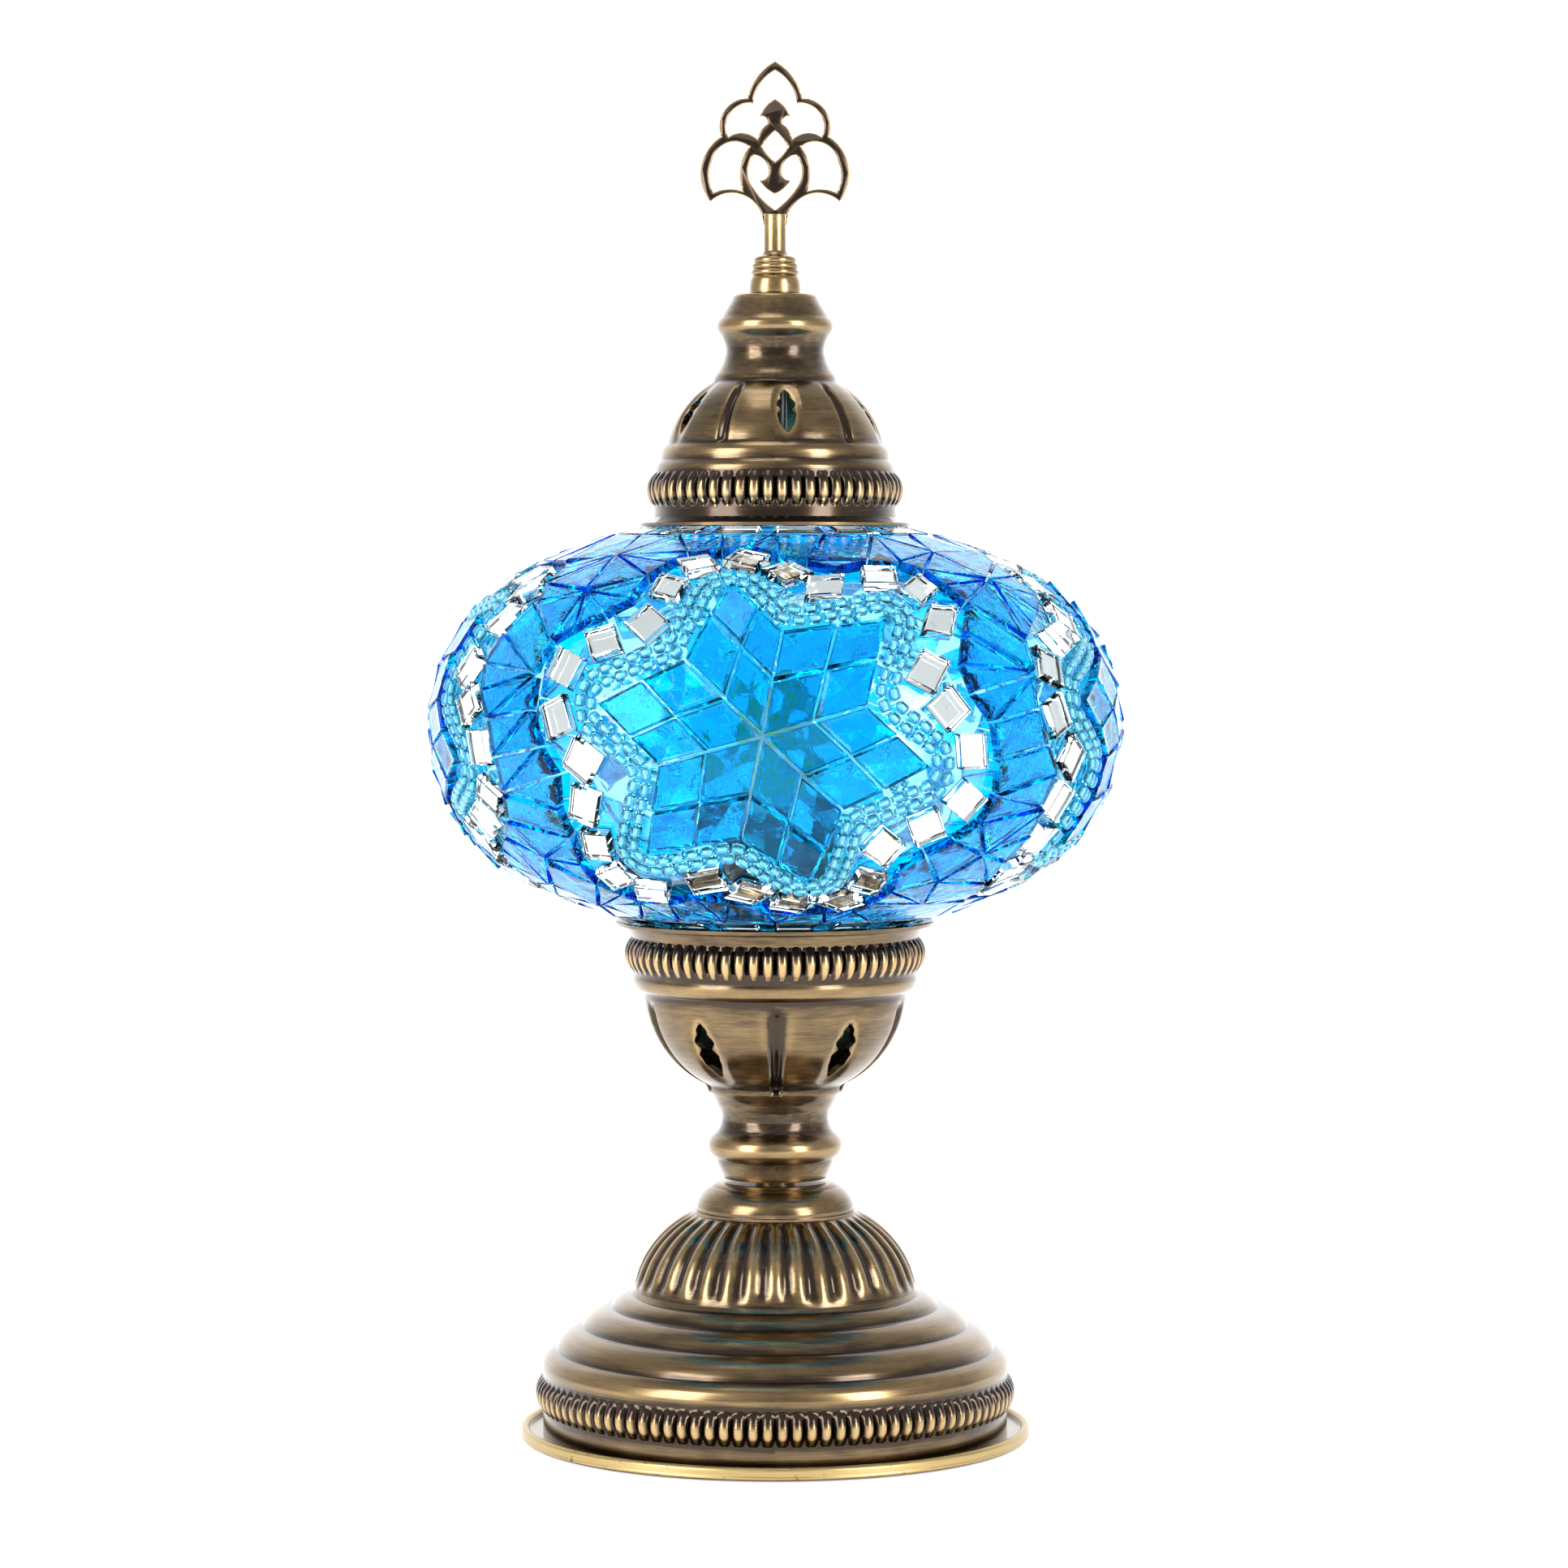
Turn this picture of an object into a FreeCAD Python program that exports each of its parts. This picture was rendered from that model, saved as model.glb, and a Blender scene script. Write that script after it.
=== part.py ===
import FreeCAD, Part

"""Mosaic glass table lamp, as a parametric FreeCAD document.

A spun brass base and cup are clamped on one threaded tube.  A blown glass globe, covered with glass
tiles, mirrors and beads, stands in the cup.  A pierced cap with a cast finial closes the globe, and
an E14 lampholder with an LED bulb stands inside.  Millimetres, +Z up, origin at the centre of the
face that the lamp stands on, front towards -Y.
"""

import math
import os
import random

import Sketcher
from FreeCAD import Placement, Rotation, Vector

# ---------------------------------------------------------------- driving dimensions

DIMENSIONS = {
    # base
    "felt_radius": 61.0,
    "felt_thickness": 1.5,
    "rim_radius": 65.0,
    "rim_low": 0.3,
    "rim_high": 5.5,
    "rim_thickness": 2.0,
    "tray_wall": 0.8,
    "recess_radius": 15.0,
    "recess_depth": 5.0,
    "skirt_radius": 59.5,
    "base_band_radius": 61.5,
    "base_band_height": 12.0,
    "first_step_radius": 59.9,
    "first_step_height": 17.8,
    "second_step_radius": 56.2,
    "second_step_height": 23.1,
    "third_step_radius": 49.5,
    "third_step_height": 28.9,
    "fourth_step_radius": 41.9,
    "fourth_step_height": 33.8,
    "dome_radius": 36.4,
    "dome_foot": 37.2,
    "dome_top": 58.4,
    "weight_radius": 48.0,
    "weight_thickness": 10.0,
    "inlet_height": 12.0,
    "inlet_radius": 4.0,
    "cord_bore": 3.2,
    # tube and its hardware
    "tube_radius": 4.95,
    "tube_bore": 3.9,
    "tube_clearance": 5.1,
    "tube_bottom": 2.0,
    "tube_top": 125.6,
    "nut_flats": 14.0,
    "nut_height": 3.0,
    "wire_radius": 1.0,
    "wire_spacing": 1.5,
    "wire_height": 22.8,
    # collar, stem and cup
    "wall": 0.8,
    "collar_radius": 20.9,
    "collar_top": 66.6,
    "stem_foot_radius": 13.2,
    "stem_knop_radius": 16.8,
    "stem_knop_height": 75.4,
    "stem_waist_radius": 14.4,
    "stem_waist_height": 82.6,
    "bowl_foot_radius": 18.0,
    "bowl_foot_height": 91.0,
    "bowl_radius": 33.7,
    "bowl_top": 114.4,
    "cup_band_radius": 38.6,
    "cup_band_height": 124.5,
    "band_half_height": 4.3,
    "cup_lip_radius": 41.0,
    "cup_lip_height": 131.8,
    "cup_slot_low": 94.8,
    "cup_slot_high": 108.2,
    "cup_slot_width": 6.0,
    # globe
    "globe_centre": 182.6,
    "globe_side_arc": 42.0,
    "globe_side_centre": 43.0,
    "globe_polar_drop": 91.0,
    "glass_wall": 2.0,
    "lower_neck_radius": 31.0,
    "lower_neck_end": 119.3,
    "upper_neck_radius": 26.0,
    "upper_neck_end": 240.0,
    # cap
    "cap_lip_radius": 34.6,
    "cap_lip_height": 234.0,
    "cap_skirt_radius": 30.9,
    "cap_band_radius": 32.4,
    "cap_band_height": 242.6,
    "cap_dome_radius": 27.5,
    "cap_dome_foot": 254.0,
    "cap_dome_top": 269.8,
    "cap_neck_radius": 12.5,
    "cap_neck_height": 277.6,
    "cap_knop_radius": 14.5,
    "cap_knop_height": 283.9,
    "cap_top": 292.0,
    "cap_slot_low": 256.8,
    "cap_slot_high": 266.9,
    "cap_slot_width": 4.9,
    "stud_radius": 2.95,
    "stud_bottom": 231.0,
    "stud_top": 299.0,
    "strap_thickness": 1.5,
    "strap_width": 10.0,
    "strap_reach": 26.4,
    "strap_drop": 12.0,
    # finial
    "finial_foot_radius": 6.4,
    "finial_stem_radius": 2.8,
    "finial_plate": 2.4,
    # lampholder and bulb
    "holder_radius": 13.5,
    "holder_bottom": 120.8,
    "holder_joint": 136.5,
    "holder_top": 158.0,
    "ring_radius": 15.2,
    "thread_radius": 6.95,
    "shell_bore": 7.1,
    "bulb_tip": 142.9,
    "bulb_neck": 158.6,
    "housing_radius": 11.5,
    "column_flats": 17.0,
    "column_foot": 164.5,
    "column_top": 190.5,
    # mosaic
    "tile_thickness": 2.8,
    "mirror_size": 9.4,
    "bead_length": 3.3,
    "bead_radius": 1.45,
    "bead_pitch": 3.75,
}

doc = FreeCAD.newDocument("MosaicLamp")


class Size:
    """A length that holds its value and the spreadsheet expression that the value comes from."""

    def __init__(self, value, text):
        self.value = value
        self.text = text

    def __add__(self, other):
        return Size(self.value + value_of(other), f"({self.text} + {text_of(other)})")

    def __sub__(self, other):
        return Size(self.value - value_of(other), f"({self.text} - {text_of(other)})")

    def __mul__(self, other):
        return Size(self.value * value_of(other), f"({self.text} * {text_of(other)})")

    def __truediv__(self, other):
        return Size(self.value / value_of(other), f"({self.text} / {text_of(other)})")

    def __rsub__(self, other):
        return Size(other - self.value, f"({text_of(other)} - {self.text})")

    def __neg__(self):
        return self * -1.0

    __radd__ = __add__
    __rmul__ = __mul__


def hypotenuse(a, b):
    return Size(math.hypot(a.value, b.value), f"sqrt({a.text} * {a.text} + {b.text} * {b.text})")


def value_of(size):
    return size.value if isinstance(size, Size) else float(size)


def text_of(size):
    return size.text if isinstance(size, Size) else f"({float(size):.6f})"


class Sheet:
    """The spreadsheet of driving dimensions; each alias is an attribute that holds a Size."""

    def __init__(self, dimensions):
        table = doc.addObject("Spreadsheet::Sheet", "Sizes")
        for row, (alias, value) in enumerate(dimensions.items(), start=1):
            table.set(f"A{row}", alias)
            table.set(f"B{row}", str(value))
            table.setAlias(f"B{row}", alias)
            setattr(self, alias, Size(value, f"Sizes.{alias}"))
        doc.recompute()


s = Sheet(DIMENSIONS)
POLAR_ARC = hypotenuse(s.globe_side_centre, s.globe_polar_drop) + s.globe_side_arc
NODES = []


def node(obj, label):
    """Marks obj as a finished sub-part under its own name."""
    obj.Label = label
    NODES.append(obj)
    return obj


def bind(obj, **sizes):
    """Sets properties of obj and ties each one to the spreadsheet."""
    for name, size in sizes.items():
        setattr(obj, name, value_of(size))
        if isinstance(size, Size):
            obj.setExpression(name, size.text)
    return obj


def place(obj, x=0, y=0, z=0):
    """Moves obj to a point whose coordinates are tied to the spreadsheet."""
    obj.Placement.Base = Vector(value_of(x), value_of(y), value_of(z))
    for axis, size in (("x", x), ("y", y), ("z", z)):
        if isinstance(size, Size):
            obj.setExpression(f"Placement.Base.{axis}", size.text)
    return obj


# ---------------------------------------------------------------- sketched outlines


def corner(r, z, bulge=0.0):
    """A corner of an outline, and how far the stretch that arrives there bulges to its right."""
    return (r, z, bulge)


def arc_centre(start, end, bulge):
    """Centre and radius of the arc from start to end that stands off its chord by bulge."""
    chord = end - start
    radius = (chord.Length**2 / 4 + bulge**2) / (2 * abs(bulge))
    left = Vector(-chord.y, chord.x, 0).normalize()
    side = 1 if bulge > 0 else -1
    return (start + end) * 0.5 + left * side * (radius - abs(bulge)), radius


def arc_radius(first, last, bulge):
    """The same radius as a Size, so that it follows the corners in the spreadsheet."""
    run, rise = last[0] - first[0], last[1] - first[1]
    return (run * run + rise * rise) / (8.0 * abs(value_of(bulge))) + abs(value_of(bulge)) / 2


def draw(sketch, corners):
    """Adds a closed outline of lines and arcs to a sketch, with every corner tied to the spreadsheet."""
    points = [Vector(value_of(c[0]), value_of(c[1]), 0) for c in corners]
    ends = []
    for i, last in enumerate(corners):
        start, end, bulge = points[i - 1], points[i], value_of(last[2])
        if bulge == 0:
            edge = sketch.addGeometry(Part.LineSegment(start, end))
            ends.append((edge, 1, 2))
            continue
        centre, radius = arc_centre(start, end, bulge)
        first, second = (start, end) if bulge > 0 else (end, start)
        angles = [math.atan2(p.y - centre.y, p.x - centre.x) for p in (first, second)]
        if angles[1] < angles[0]:
            angles[1] += 2 * math.pi
        circle = Part.Circle(centre, Vector(0, 0, 1), radius)
        edge = sketch.addGeometry(Part.ArcOfCircle(circle, *angles))
        ends.append((edge, 1, 2) if bulge > 0 else (edge, 2, 1))
        size = arc_radius(corners[i - 1], last, bulge)
        tie(sketch, Sketcher.Constraint("Radius", edge, radius), size)
    for i, (edge, _, tail) in enumerate(ends):
        after = ends[(i + 1) % len(ends)]
        sketch.addConstraint(Sketcher.Constraint("Coincident", edge, tail, after[0], after[1]))
        for kind, axis, size in (("DistanceX", -2, corners[i][0]), ("DistanceY", -1, corners[i][1])):
            if value_of(size) == 0:
                sketch.addConstraint(Sketcher.Constraint("PointOnObject", edge, tail, axis))
            else:
                tie(sketch, Sketcher.Constraint(kind, -1, 1, edge, tail, value_of(size)), size)


def tie(sketch, constraint, size):
    """Adds a dimension to a sketch and ties it to the spreadsheet."""
    index = sketch.addConstraint(constraint)
    if isinstance(size, Size):
        sketch.setExpression(f"Constraints[{index}]", size.text)


def mirrored(corners):
    """The half outline on the right, from bottom to top, completed with its mirror image."""
    whole = list(corners)
    for i in range(len(corners) - 1, -1, -1):
        x, z, _ = corners[i]
        bulge = corners[i + 1][2] if i + 1 < len(corners) else 0.0
        if value_of(x) != 0:
            whole.append(corner(-x, z, bulge))
        elif i == 0:
            whole[0] = corner(x, z, bulge)
    return whole


def body_with_sketch(name, plane, *outlines):
    """A body with one sketch on its own origin plane."""
    body = doc.addObject("PartDesign::Body", name)
    return body, sketch_on(body, plane, *outlines)


def sketch_on(body, plane, *outlines):
    """A sketch on an origin plane of a body, holding the outlines."""
    sketch = body.newObject("Sketcher::SketchObject", f"{body.Name}_outline")
    origin = [f for f in body.Origin.OriginFeatures if f.Role == plane][0]
    sketch.AttachmentSupport = (origin, [""])
    sketch.MapMode = "FlatFace"
    for outline in outlines:
        draw(sketch, outline)
    return sketch


def turned(name, corners):
    """A part turned about the Z axis from a closed half section of (radius, height) corners."""
    body, sketch = body_with_sketch(name, "XZ_Plane", corners)
    spin = body.newObject("PartDesign::Revolution", f"{name}_turn")
    spin.Profile = sketch
    spin.ReferenceAxis = (sketch, ["V_Axis"])
    spin.Angle = 360
    sketch.Visibility = False
    doc.recompute()
    return body


def ring(name, inner, outer, low, high):
    """A plain washer, bush or tube."""
    return turned(name, [corner(inner, low), corner(outer, low), corner(outer, high), corner(inner, high)])


def directions(corners, i):
    """Unit directions in which the stretch from corner i - 1 to corner i sets off and arrives."""
    start, end = corners[i - 1], corners[i]
    chord = Vector(value_of(end[0]) - value_of(start[0]), value_of(end[1]) - value_of(start[1]), 0)
    turn = 2 * math.atan2(2 * value_of(end[2]), chord.Length)
    heading = math.atan2(chord.y, chord.x)
    return [Vector(math.cos(heading + a), math.sin(heading + a), 0) for a in (-turn, turn)]


def spun(name, outline, wall):
    """A spun sheet metal shell: the outline of its outer face, upwards, and a wall to its left."""
    last = len(outline) - 1
    inside = []
    for i, (r, z, _) in enumerate(outline):
        arriving = directions(outline, max(i, 1))[1 if i else 0]
        leaving = directions(outline, min(i + 1, last))[0 if i < last else 1]
        normals = [Vector(-d.y, d.x, 0) for d in (arriving, leaving)]
        miter = (normals[0] + normals[1]) / (1 + normals[0].dot(normals[1]))
        inside.append((r + wall * miter.x, z + wall * miter.y))
    back = [corner(*inside[last])]
    for i in range(last, 0, -1):
        bulge = value_of(outline[i][2])
        if bulge:
            chord = math.dist(*[[value_of(v) for v in outline[k][:2]] for k in (i - 1, i)])
            radius = (chord**2 / 4 + bulge**2) / (2 * abs(bulge))
            bulge *= (radius - math.copysign(value_of(wall), bulge)) / radius
        back.append(corner(*inside[i - 1], -bulge))
    return turned(name, list(outline) + back)


def padded(name, plane, depth, *outlines):
    """A part cut from plate of the given depth, centred on the sketch plane."""
    body, sketch = body_with_sketch(name, plane, *outlines)
    pad = body.newObject("PartDesign::Pad", f"{name}_pad")
    pad.Profile = sketch
    bind(pad, Length=depth)
    pad.SideType = "Symmetric"
    doc.recompute()
    return body


def cylinder(name, radius, height, x=0, y=0, z=0):
    solid = bind(doc.addObject("Part::Cylinder", name), Radius=radius, Height=height)
    return place(solid, x, y, z)


def block(name, length, width, height, x=0, y=0, z=0):
    """A box that is centred on x and y and stands at z."""
    solid = bind(doc.addObject("Part::Box", name), Length=length, Width=width, Height=height)
    return place(solid, x - length * 0.5, y - width * 0.5, z)


def cut(name, base, tool):
    result = doc.addObject("Part::Cut", name)
    result.Base = base
    result.Tool = tool
    doc.recompute()
    return result


def fuse(name, *parts):
    result = doc.addObject("Part::MultiFuse", name)
    result.Shapes = list(parts)
    doc.recompute()
    return result


def hex_nut(name, flats, bore, height, z):
    """A plain hexagon nut about the Z axis; its thread is left plain."""
    blank = bind(doc.addObject("Part::Prism", f"{name}_blank"), Height=height)
    blank.Polygon = 6
    bind(blank, Circumradius=flats / math.sqrt(3))
    place(blank, z=z)
    hole = cylinder(f"{name}_hole", bore, height + 2, z=z - 1)
    return cut(name, blank, hole)


def pierced(name, shell, low, high, width, reach, count, first_angle):
    """Cuts a ring of double-lobed pointed slots through a shell."""
    quarter = (high - low) * 0.25
    waist_share, lobe_bulge, waist_bulge = 0.36, 0.45, 0.3
    half = [
        corner(0, low),
        corner(width * 0.5, low + quarter, lobe_bulge),
        corner(width * waist_share, low + quarter * 2, waist_bulge),
        corner(width * 0.5, high - quarter, waist_bulge),
        corner(0, high, lobe_bulge),
    ]
    cutter, sketch = body_with_sketch(f"{name}_cutter", "XZ_Plane", mirrored(half))
    cutter.AllowCompound = True
    pad = cutter.newObject("PartDesign::Pad", f"{name}_slot")
    pad.Profile = sketch
    bind(pad, Length=reach)
    doc.recompute()
    pattern = cutter.newObject("PartDesign::PolarPattern", f"{name}_slots")
    pattern.Originals = [pad]
    z_axis = [f for f in cutter.Origin.OriginFeatures if f.Role == "Z_Axis"][0]
    pattern.Axis = (z_axis, [""])
    pattern.Angle = 360
    pattern.Occurrences = count
    cutter.Tip = pattern
    cutter.Placement = Placement(Vector(), Rotation(Vector(0, 0, 1), first_angle))
    doc.recompute()
    return cut(name, shell, cutter)


def group(label, shapes):
    """Many separate loose pieces of one kind, held as one sub-part."""
    feature = doc.addObject("Part::Feature", label)
    feature.Shape = Part.makeCompound(shapes)
    return node(feature, label)


def run_of_wire(points, bends, radius):
    """A round wire along straight runs joined by tangent arcs of the given radii."""
    edges, here = [], points[0]
    for before, at, after, bend in zip(points, points[1:], points[2:], bends):
        back, ahead = (before - at).normalize(), (after - at).normalize()
        trim = bend / math.tan(back.getAngle(ahead) / 2)
        leave, arrive = at + back * trim, at + ahead * trim
        inward = (back + ahead).normalize()
        middle = at + inward * (math.hypot(bend, trim) - bend)
        edges += [Part.LineSegment(here, leave).toShape(), Part.Arc(leave, middle, arrive).toShape()]
        here = arrive
    edges.append(Part.LineSegment(here, points[-1]).toShape())
    path = Part.Wire(edges)
    section = Part.Wire(Part.makeCircle(radius, points[0], points[1] - points[0]))
    return path.makePipeShell([section], True, True)


# ---------------------------------------------------------------- base


def make_base():
    felt = cylinder("felt", s.felt_radius, s.felt_thickness)
    node(felt, "felt_pad")

    floor_top = s.felt_thickness + s.tray_wall
    recess = s.felt_thickness + s.recess_depth
    slope = 3.0
    rim_inside = s.rim_radius - s.rim_thickness
    tray = [
        corner(s.tube_clearance, recess),
        corner(s.recess_radius, recess),
        corner(s.recess_radius + slope, s.felt_thickness),
        corner(rim_inside, s.felt_thickness),
        corner(rim_inside + 0.4, s.rim_low),
        corner(s.rim_radius - 0.6, s.rim_low),
        corner(s.rim_radius, s.rim_low + 1.2, 0.3),
        corner(s.rim_radius, s.rim_high - 1.0),
        corner(rim_inside, s.rim_high - 1.0, 0.9),
        corner(rim_inside, floor_top),
        corner(s.recess_radius + slope + 0.4, floor_top),
        corner(s.recess_radius + 0.4, recess + s.tray_wall),
        corner(s.tube_clearance, recess + s.tray_wall),
    ]
    node(turned("tray", tray), "base_tray")

    washer_low = recess - 1.2
    node(ring("washer", s.tube_clearance, s.tube_clearance + 5.5, washer_low, recess), "bottom_washer")
    node(
        hex_nut("bottom_nut", s.nut_flats, s.tube_clearance, s.nut_height, washer_low - s.nut_height),
        "bottom_nut",
    )

    weight_low = recess + s.tray_wall
    weight_high = weight_low + s.weight_thickness
    weight = turned(
        "weight",
        [
            corner(s.tube_clearance + 0.3, weight_low),
            corner(s.weight_radius - 1.5, weight_low),
            corner(s.weight_radius, weight_low + 1.5, 0.4),
            corner(s.weight_radius, weight_high - 2.5),
            corner(s.weight_radius - 2.5, weight_high, 0.7),
            corner(s.tube_clearance + 0.3, weight_high),
        ],
    )
    node(weight, "base_weight")
    node(hex_nut("weight_nut", s.nut_flats, s.tube_clearance, s.nut_height, weight_high), "weight_nut")

    band_low = s.base_band_height - s.band_half_height
    band_high = s.base_band_height + s.band_half_height
    cover = [
        corner(s.skirt_radius, floor_top),
        corner(s.skirt_radius, band_low),
        corner(s.skirt_radius, band_high, 2.0),
        corner(s.first_step_radius, s.first_step_height, -0.2),
        corner(s.second_step_radius, s.second_step_height, 1.3),
        corner(s.third_step_radius, s.third_step_height, 1.3),
        corner(s.fourth_step_radius, s.fourth_step_height, 1.2),
        corner(s.dome_radius, s.dome_foot, 0.9),
        corner(s.collar_radius - 1.4, s.dome_top, 3.9),
        corner(s.tube_clearance, s.dome_top),
    ]
    shell = spun("cover_shell", cover, s.wall)
    hole = cylinder("cover_hole", s.inlet_radius, 12.0, y=s.skirt_radius - 6, z=s.inlet_height)
    hole.Placement.Rotation = Rotation(Vector(1, 0, 0), -90)
    node(cut("base_cover", shell, hole), "base_cover")

    flange = s.inlet_radius + 1.3
    front, back = s.base_band_radius - 3.0, s.base_band_radius + 1.6
    bush = turned(
        "grommet",
        [
            corner(s.cord_bore, front - 1.2),
            corner(s.inlet_radius + 0.7, front - 1.2),
            corner(s.inlet_radius + 0.7, front - 0.2),
            corner(s.inlet_radius - 0.1, front - 0.2),
            corner(s.inlet_radius - 0.1, back - 1.4),
            corner(flange, back - 1.4),
            corner(flange, back - 0.5),
            corner(flange - 0.9, back, 0.3),
            corner(s.cord_bore, back),
        ],
    )
    bush.Placement = Placement(Vector(0, 0, s.inlet_height.value), Rotation(Vector(1, 0, 0), -90))
    bush.setExpression("Placement.Base.z", s.inlet_height.text)
    node(bush, "cord_grommet")

    make_terminal_block(weight_high)


def make_terminal_block(top_of_weight):
    """Two-pole terminal block on the weight, behind the tube, with its clamping screws."""
    middle, pole = 32.0, 3.5
    height = 11.0
    body = block("terminal_body", 15.0, 15.0, height, y=middle, z=top_of_weight)
    holes = []
    for side in (-1, 1):
        bore_radius = s.wire_radius + 0.6
        bore = cylinder(f"pole{side}", bore_radius, 20.0, x=side * pole, y=middle - 10, z=s.wire_height)
        bore.Placement.Rotation = Rotation(Vector(1, 0, 0), -90)
        holes.append(bore)
        for end in (-4.0, 4.0):
            holes.append(
                cylinder(f"well{side}", 1.7, height, x=side * pole, y=middle + end, z=s.wire_height)
            )
    node(cut("terminal_block", body, fuse("terminal_holes", *holes)), "terminal_block")
    screws = []
    for side in (-1, 1):
        for end in (-4.0, 4.0):
            centre = Vector(side * pole, middle + end, value_of(s.wire_height + s.wire_radius) + 0.1)
            screw = Part.makeCylinder(1.5, 4.2, centre)
            slot = Part.makeBox(4.0, 0.5, 0.7, centre + Vector(-2.0, -0.25, 3.5))
            screws.append(screw.cut(slot))
    group("terminal_screws", screws)


# ---------------------------------------------------------------- tube, wires, collar and cup


def make_tube():
    """Threaded tube through the whole base, with a side hole where the wires enter it."""
    tube = ring("tube_blank", s.tube_bore, s.tube_radius, s.tube_bottom, s.tube_top)
    window = block("tube_window", 6.4, 8.0, 5.0, y=4.0, z=s.wire_height - 2.0)
    node(cut("stem_tube", tube, window), "stem_tube")
    names = {-1: "live_wire", 1: "neutral_wire"}
    for side, label in names.items():
        x, pole = side * s.wire_spacing.value, side * 3.5
        z = s.wire_height.value
        route = [
            Vector(pole, 30.0, z),
            Vector(pole, 19.0, z),
            Vector(x, 11.0, z),
            Vector(x, 0.0, z),
            Vector(x, 0.0, s.tube_top.value + 2.0),
            Vector(side * 5.0, 0.0, s.tube_top.value + 6.0),
            Vector(side * 5.0, 0.0, s.holder_joint.value + 2.0),
        ]
        wire = doc.addObject("Part::Feature", label)
        wire.Shape = run_of_wire(route, [5.0, 5.0, 6.0, 2.5, 2.5], s.wire_radius.value)
        node(wire, label)


def make_collar_and_cup():
    collar = [
        corner(s.collar_radius, s.dome_top + 0.05),
        corner(s.collar_radius, s.dome_top + 1.2),
        corner(s.collar_radius - 4.3, s.collar_top - 1.3, 0.9),
        corner(s.stem_foot_radius + 0.4, s.collar_top, 0.4),
        corner(s.tube_clearance, s.collar_top),
    ]
    node(spun("collar", collar, s.wall), "base_collar")

    stem_foot = s.collar_top + 0.05
    band_low = s.cup_band_height - s.band_half_height
    band_high = s.cup_band_height + s.band_half_height
    cup = [
        corner(s.tube_clearance, stem_foot),
        corner(s.stem_foot_radius, stem_foot),
        corner(s.stem_knop_radius - 1.3, s.stem_knop_height - 3.4),
        corner(s.stem_knop_radius - 1.0, s.stem_knop_height + 2.4, 1.5),
        corner(s.stem_waist_radius + 0.4, s.stem_waist_height + 2.8, -1.6),
        corner(s.bowl_foot_radius - 0.6, s.bowl_foot_height - 1.8, -0.3),
        corner(s.bowl_foot_radius, s.bowl_foot_height),
        corner(s.bowl_radius, s.bowl_top, 3.9),
        corner(s.bowl_radius + 1.9, s.bowl_top + 1.0),
        corner(s.bowl_radius + 2.5, s.bowl_top + 4.6, 0.4),
        corner(s.cup_band_radius - 2.0, band_low),
        corner(s.cup_band_radius - 2.1, band_high, 2.0),
        corner(s.cup_band_radius - 2.1, s.cup_lip_height - 1.5),
        corner(s.cup_lip_radius, s.cup_lip_height, -0.3),
    ]
    shell = spun("cup_shell", cup, s.wall)
    slots = 5
    pierced_cup = pierced(
        "lower_cup", shell, s.cup_slot_low, s.cup_slot_high, s.cup_slot_width, s.bowl_radius + 6, slots, 36
    )
    node(pierced_cup, "lower_cup")

    plate_low, plate_high = s.bowl_top + 1.7, s.lower_neck_end - 2.0
    plate = ring("gallery_blank", s.tube_clearance, s.bowl_radius + 0.8, plate_low, plate_high)
    vents = []
    for k in range(slots):
        angle = math.radians(90 + 360 / slots * k)
        vent = cylinder(f"vent{k}", 4.0, 4.0, 21 * math.cos(angle), 21 * math.sin(angle), plate_low - 1)
        vents.append(vent)
    node(cut("gallery_plate", plate, fuse("gallery_vents", *vents)), "gallery_plate")
    node(hex_nut("gallery_nut", s.nut_flats, s.tube_clearance, s.nut_height, plate_high), "gallery_nut")
    seat_inner, seat_outer = s.lower_neck_radius - 3.5, s.lower_neck_radius + 1.5
    node(ring("seat", seat_inner, seat_outer, plate_high, s.lower_neck_end), "globe_seat_ring")


# ---------------------------------------------------------------- lampholder and bulb


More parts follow.
